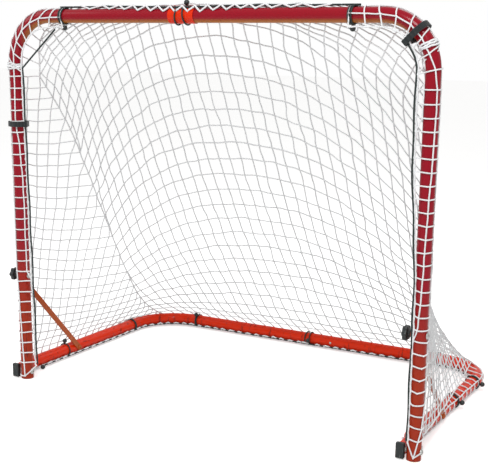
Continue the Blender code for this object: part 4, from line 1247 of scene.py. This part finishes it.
def panel_netting(side, wraps):
    """The side net's part from the post back to the seam, down to the base bar."""
    panel = Netting()
    rows, starts, ends = [], [], []
    for j in range(ELBOW_ROWS, ROWS + 1):
        start, end = wraps[j]["back"], SEAM[side][j]
        low = held((0.22 - start.z) / 0.19)
        bow = 2.2 + 3 * low if side == "left" else 1.1
        path = []
        for share in spread(0, 1, 60):
            point = start.lerp(end, share)
            point.x = start.x + (end.x - start.x) * share**bow
            point.z -= 0.05 * (1 - low) * (end - start).length * 4 * share * (1 - share)
            point.z = max(point.z, BAR_Z + 0.0235)
            path.append(clear(point))
        if j == ROWS:
            runs = spread(BAR_NET_FROM, CORNER_RUN, 60)
            path = [bar_skin(side, run, BAR_ANGLES[0], ON_TUBE) for run in runs]
            start = path[0]
        knots = cells(path, CELL, -0.17 * max(0.56 - start.z, 0))
        knots = {k: clear(wobble(point, 0.002)) for k, point in knots.items()}
        line = [start] + [knots[k] for k in sorted(knots)] + [end]
        panel.strand(line, knots=range(1, len(line)))
        rows.append(knots)
        starts.append(start)
        ends.append(end)
    join_columns(panel, rows, PANEL_COLUMNS, ends, starts)
    for j in range(1, ELBOW_ROWS):
        panel.strand([wraps[j]["back"], SEAM[side][j]], knots=(1,))
    panel.strand(SEAM[side], width=1.2)
    return panel.make(f"{side}_panel_netting")


def bar_netting(name, places):
    """Netting from the top of a bar round to the cord under it."""
    under = Netting()
    middle = [bar_skin(side, run, BAR_ANGLES[1], ON_TUBE) for side, run in places]
    under.strand(middle, knots=range(len(places)), slack=0.001)
    lower_edge(under, places)
    return under.make(name)


for side in SIDES:
    node = f"{side}_side_net"
    wraps = [wrap_row(side, j) for j in range(ROWS + 1)]
    lace(post_netting(side, wraps), "front_frame", (0.11, 1.35), node)
    hang(panel_netting(side, wraps), (0.45, 0.90), node)
    runs = spread(BAR_NET_FROM, CORNER_RUN, round((CORNER_RUN - BAR_NET_FROM) / CELL))
    under = bar_netting(f"{side}_bar_netting", [(side, run) for run in runs])
    lace(under, "base_frame", (0.07, 0.75), node)

# The rear net hangs full and slack from the crossbar to the rear bar.
BAR_LINE = round_the_base(CORNER_RUN)
MIDDLE_X = (SEAM["left"][0].x + SEAM["right"][0].x) / 2


def bezier(a, b, c, t):
    return a * (1 - t) ** 2 + b * 2 * t * (1 - t) + c * t * t


top = Vector((MIDDLE_X, *SEAM_TOP))
low_middle = Vector((MIDDLE_X, POST_Y + 0.70, 0.115))
pull = Vector((MIDDLE_X, POST_Y + 0.36, 0.52))
fall = [over_crossbar(SEAM["left"][0].x, NET_OVER_CROSSBAR)]
fall += [bezier(top, pull, low_middle, t) for t in spread(0, 1, 40)]
angle = math.radians(BAR_ANGLES[0])
fall.append(Vector((MIDDLE_X, REAR_Y + ON_TUBE * math.cos(angle), BAR_Z + ON_TUBE * math.sin(angle))))

# Its rows hang lower at both ends than in the middle, so that the top ones run up to the
# crossbar, and its columns lean out at the top corners.
ROW_DROP = 5.0
COLUMN_LEAN = 3.2
COARSE = 96
FINE = 900
CENTRE = evenly(smooth(fall, 3), ROWS)
lowest = evenly([bar_skin(*place, BAR_ANGLES[0], ON_TUBE) for place in BAR_LINE], COARSE)


def row_coordinate(i, share):
    """How far down the seams' knots a row lies, at a share of the way across."""
    middle = i - ROW_DROP * (1 - (i / ROWS) ** 2)
    return middle + (i - middle) * abs(2 * share - 1) ** 3.2


def slack_row(u):
    """A row from seam to seam, full towards the middle line."""
    a, b = int(u), min(int(u) + 1, ROWS)
    left, right, centre = [line[a].lerp(line[b], u - a) for line in (SEAM["left"], SEAM["right"], CENTRE)]
    points = []
    for share in spread(0, 1, COARSE):
        point = left.lerp(right, share)
        full = 1 - abs(2 * share - 1) ** (2 + 6 * max(1 - u / 3, 0))
        point.y += (centre.y - point.y) * full
        point.z += (centre.z - point.z) * full
        points.append(point)
    return points


misses = [goal - point for goal, point in zip(lowest, slack_row(ROWS))]
grid, reach = [], []
for half_row in range(2 * ROWS + 1):
    u = half_row / 2
    settle = ease((u / ROWS - 0.55) / 0.45)
    points = [point + miss * settle for point, miss in zip(slack_row(u), misses)]
    lengths = run_lengths(points)
    if u in (0.5, 1):
        for point in points:
            swell = max(noise.noise(Vector((point.x * 6.0, 1.7, 0.3))) + 0.25, 0) * 0.016
            point.z = max(point.z, CROSSBAR_Z + 0.0195) + swell * (0.6 if u == 1 else 1)
    grid.append(points)
    reach.append([length - lengths[COARSE // 2] for length in lengths])


def between(table, u, share):
    """A value of a table of rows, between its entries."""
    u, v = min(max(u, 0), ROWS) * 2, share * COARSE
    a, b = min(int(u), 2 * ROWS - 1), min(int(v), COARSE - 1)
    u, v = u - a, v - b
    upper = table[a][b] * (1 - v) + table[a][b + 1] * v
    lower = table[a + 1][b] * (1 - v) + table[a + 1][b + 1] * v
    return upper * (1 - u) + lower * u


def column_coordinate(u, share):
    """Which column passes here, counted from the middle."""
    lean = COLUMN_LEAN * max(1 - u / 14, 0) ** 2 * abs(2 * share - 1) ** 3
    return between(reach, u, share) / CELL - math.copysign(lean, share - 0.5)


def row_knots(path):
    """Knots where a row, given as (u, share) steps, crosses the columns."""
    knots = {}
    before = None
    for u, share in path:
        column = column_coordinate(u, share)
        if before is not None and math.floor(column) != math.floor(before[2]):
            k = max(math.floor(column), math.floor(before[2]))
            part = (k - before[2]) / (column - before[2])
            step = before[0] + (u - before[0]) * part, before[1] + (share - before[1]) * part
            knots[k] = between(grid, *step)
        before = u, share, column
    return knots


rear = Netting()
top_knots = row_knots([(0, share) for share in spread(0, 1, FINE)])
columns = {k: [(0, point)] for k, point in top_knots.items()}
for i in range(1, ROWS + 1):
    runs = [[]]
    for share in spread(0, 1, FINE):
        u = row_coordinate(i, share)
        if u >= 0:
            runs[-1].append((u, share))
        elif runs[-1]:
            runs.append([])
    slack = 0.004 if i < ROWS - 3 else 0.0012
    for run in (run for run in runs if len(run) > 4):
        knots = row_knots(run)
        line = [between(grid, *run[0])]
        for k in sorted(knots):
            knot = clear(wobble(knots[k], slack))
            line.append(knot)
            columns.setdefault(k, []).append((i, knot))
        rear.strand(line + [between(grid, *run[-1])], knots=range(len(line) + 1), slack=0.003)
for k, knots in columns.items():
    seam = SEAM["left" if k < 0 else "right"]
    # A column that leaves the net below the crossbar and comes back is two strands.
    parts = [[]]
    for i, point in knots:
        before = parts[-1][-1][0] if parts[-1] else 0
        if 0 < before < i - 2:
            parts.append([])
        parts[-1].append((i, point))
    for part in parts:
        line = [point for _, point in part]
        if part[0][0] > 0:
            line.insert(0, min(seam, key=lambda knot: (knot - line[0]).length))
        if part[-1][0] < ROWS:
            line.append(min(seam, key=lambda knot: (knot - line[-1]).length))
        rear.strand(line, slack=0.003)
edge = []
top_line = [top_knots[k] for k in sorted(top_knots)]
for a, b in zip(top_line, top_line[1:]):
    stray = noise.noise(Vector((a.x * 23.0, 1.7, 0.3)))
    edge += [over_crossbar(a.x, 0.0280), over_crossbar((a.x + b.x) / 2, 0.0215, 34 + 12 * stray)]
rear.strand(edge + [top_line[-1]], knots=range(0, 2 * len(top_line), 2), width=1.3, fine=4, slack=0.0008)
hang(rear.make("rear_netting"), (1.35, 1.40), "rear_net")

REAR_CELLS = 35
places = [BAR_LINE[round(share * (len(BAR_LINE) - 1))] for share in spread(0, 1, REAR_CELLS)]
lace(bar_netting("rear_bar_netting", places), "base_frame", (0.07, 1.33), "rear_net")

# Floor, light and camera
# A pale floor that reads as white, with the goal's soft shadow on it.
FLOOR = 30
corners = [(-FLOOR, -FLOOR, 0), (FLOOR, -FLOOR, 0), (FLOOR, FLOOR, 0), (-FLOOR, FLOOR, 0)]
floor = mesh_piece("studio_floor", corners, [(0, 1, 2, 3)])
floor_paint, tree, shader = mottled("pale_floor", 0.9, 1.2, (0.86, 0.86, 0.86), (0.89, 0.89, 0.89))
seen = add(tree, "ShaderNodeLightPath").outputs["Is Camera Ray"]
shader.inputs["Emission Color"].default_value = (1, 1, 1, 1)
tree.links.new(calc(tree, "MULTIPLY", seen, 0.42), shader.inputs["Emission Strength"])
floor.data.materials.append(floor_paint)

world = bpy.data.worlds.new("studio")
bpy.context.scene.world = world
world.use_nodes = True
tree = world.node_tree
sky = tree.nodes["Background"]
sky.inputs["Color"].default_value = (1.0, 0.995, 0.985, 1)
sky.inputs["Strength"].default_value = 0.62
white = add(tree, "ShaderNodeBackground", {"Color": (1, 1, 1, 1), "Strength": 1.0}).outputs[0]
seen = add(tree, "ShaderNodeLightPath").outputs["Is Camera Ray"]
choice = add(tree, "ShaderNodeMixShader", {0: seen, 1: sky.outputs[0], 2: white})
tree.links.new(choice.outputs[0], tree.nodes["World Output"].inputs["Surface"])


def area_light(name, place, size, power):
    """A round lamp that points at the goal's lower middle."""
    light = bpy.data.lights.new(name, "AREA")
    light.shape = "DISK"
    light.size = size
    light.energy = power
    lamp = bpy.data.objects.new(name, light)
    lamp.location = place
    lamp.rotation_euler = (Vector((0, 0, 0.4)) - Vector(place)).to_track_quat("-Z", "Y").to_euler()
    bpy.context.scene.collection.objects.link(lamp)


area_light("key_light", (1.6, -3.2, 4.2), 2.0, 130)
area_light("fill_light", (-3.6, -1.6, 2.6), 3.0, 35)
area_light("rear_light", (0.5, 3.4, 3.2), 3.0, 25)

# Place and turns fitted to the photograph.
CAMERA_PLACE = (1.4991, -2.7738, 1.0268)
CAMERA_TURNS = (29.4771, 13.0398, 0.6593)
camera = bpy.data.cameras.new("photo_camera")
camera.sensor_width = 36
camera.lens = 76.37
camera.shift_y = 0.1096
camera.clip_end = 60
eye = bpy.data.objects.new("photo_camera", camera)
bpy.context.scene.collection.objects.link(eye)
bpy.context.scene.camera = eye
yaw, pitch, roll = (math.radians(a) for a in CAMERA_TURNS)
ahead = Vector((-math.sin(yaw) * math.cos(pitch), math.cos(yaw) * math.cos(pitch), -math.sin(pitch)))
right = Vector((math.cos(yaw), math.sin(yaw), 0))
up = right.cross(ahead)
side_way = right * math.cos(roll) + up * math.sin(roll)
up_way = up * math.cos(roll) - right * math.sin(roll)
turn = Matrix((side_way, up_way, -ahead)).transposed().to_4x4()
eye.matrix_world = Matrix.Translation(CAMERA_PLACE) @ turn

bpy.context.scene.view_settings.view_transform = "Standard"
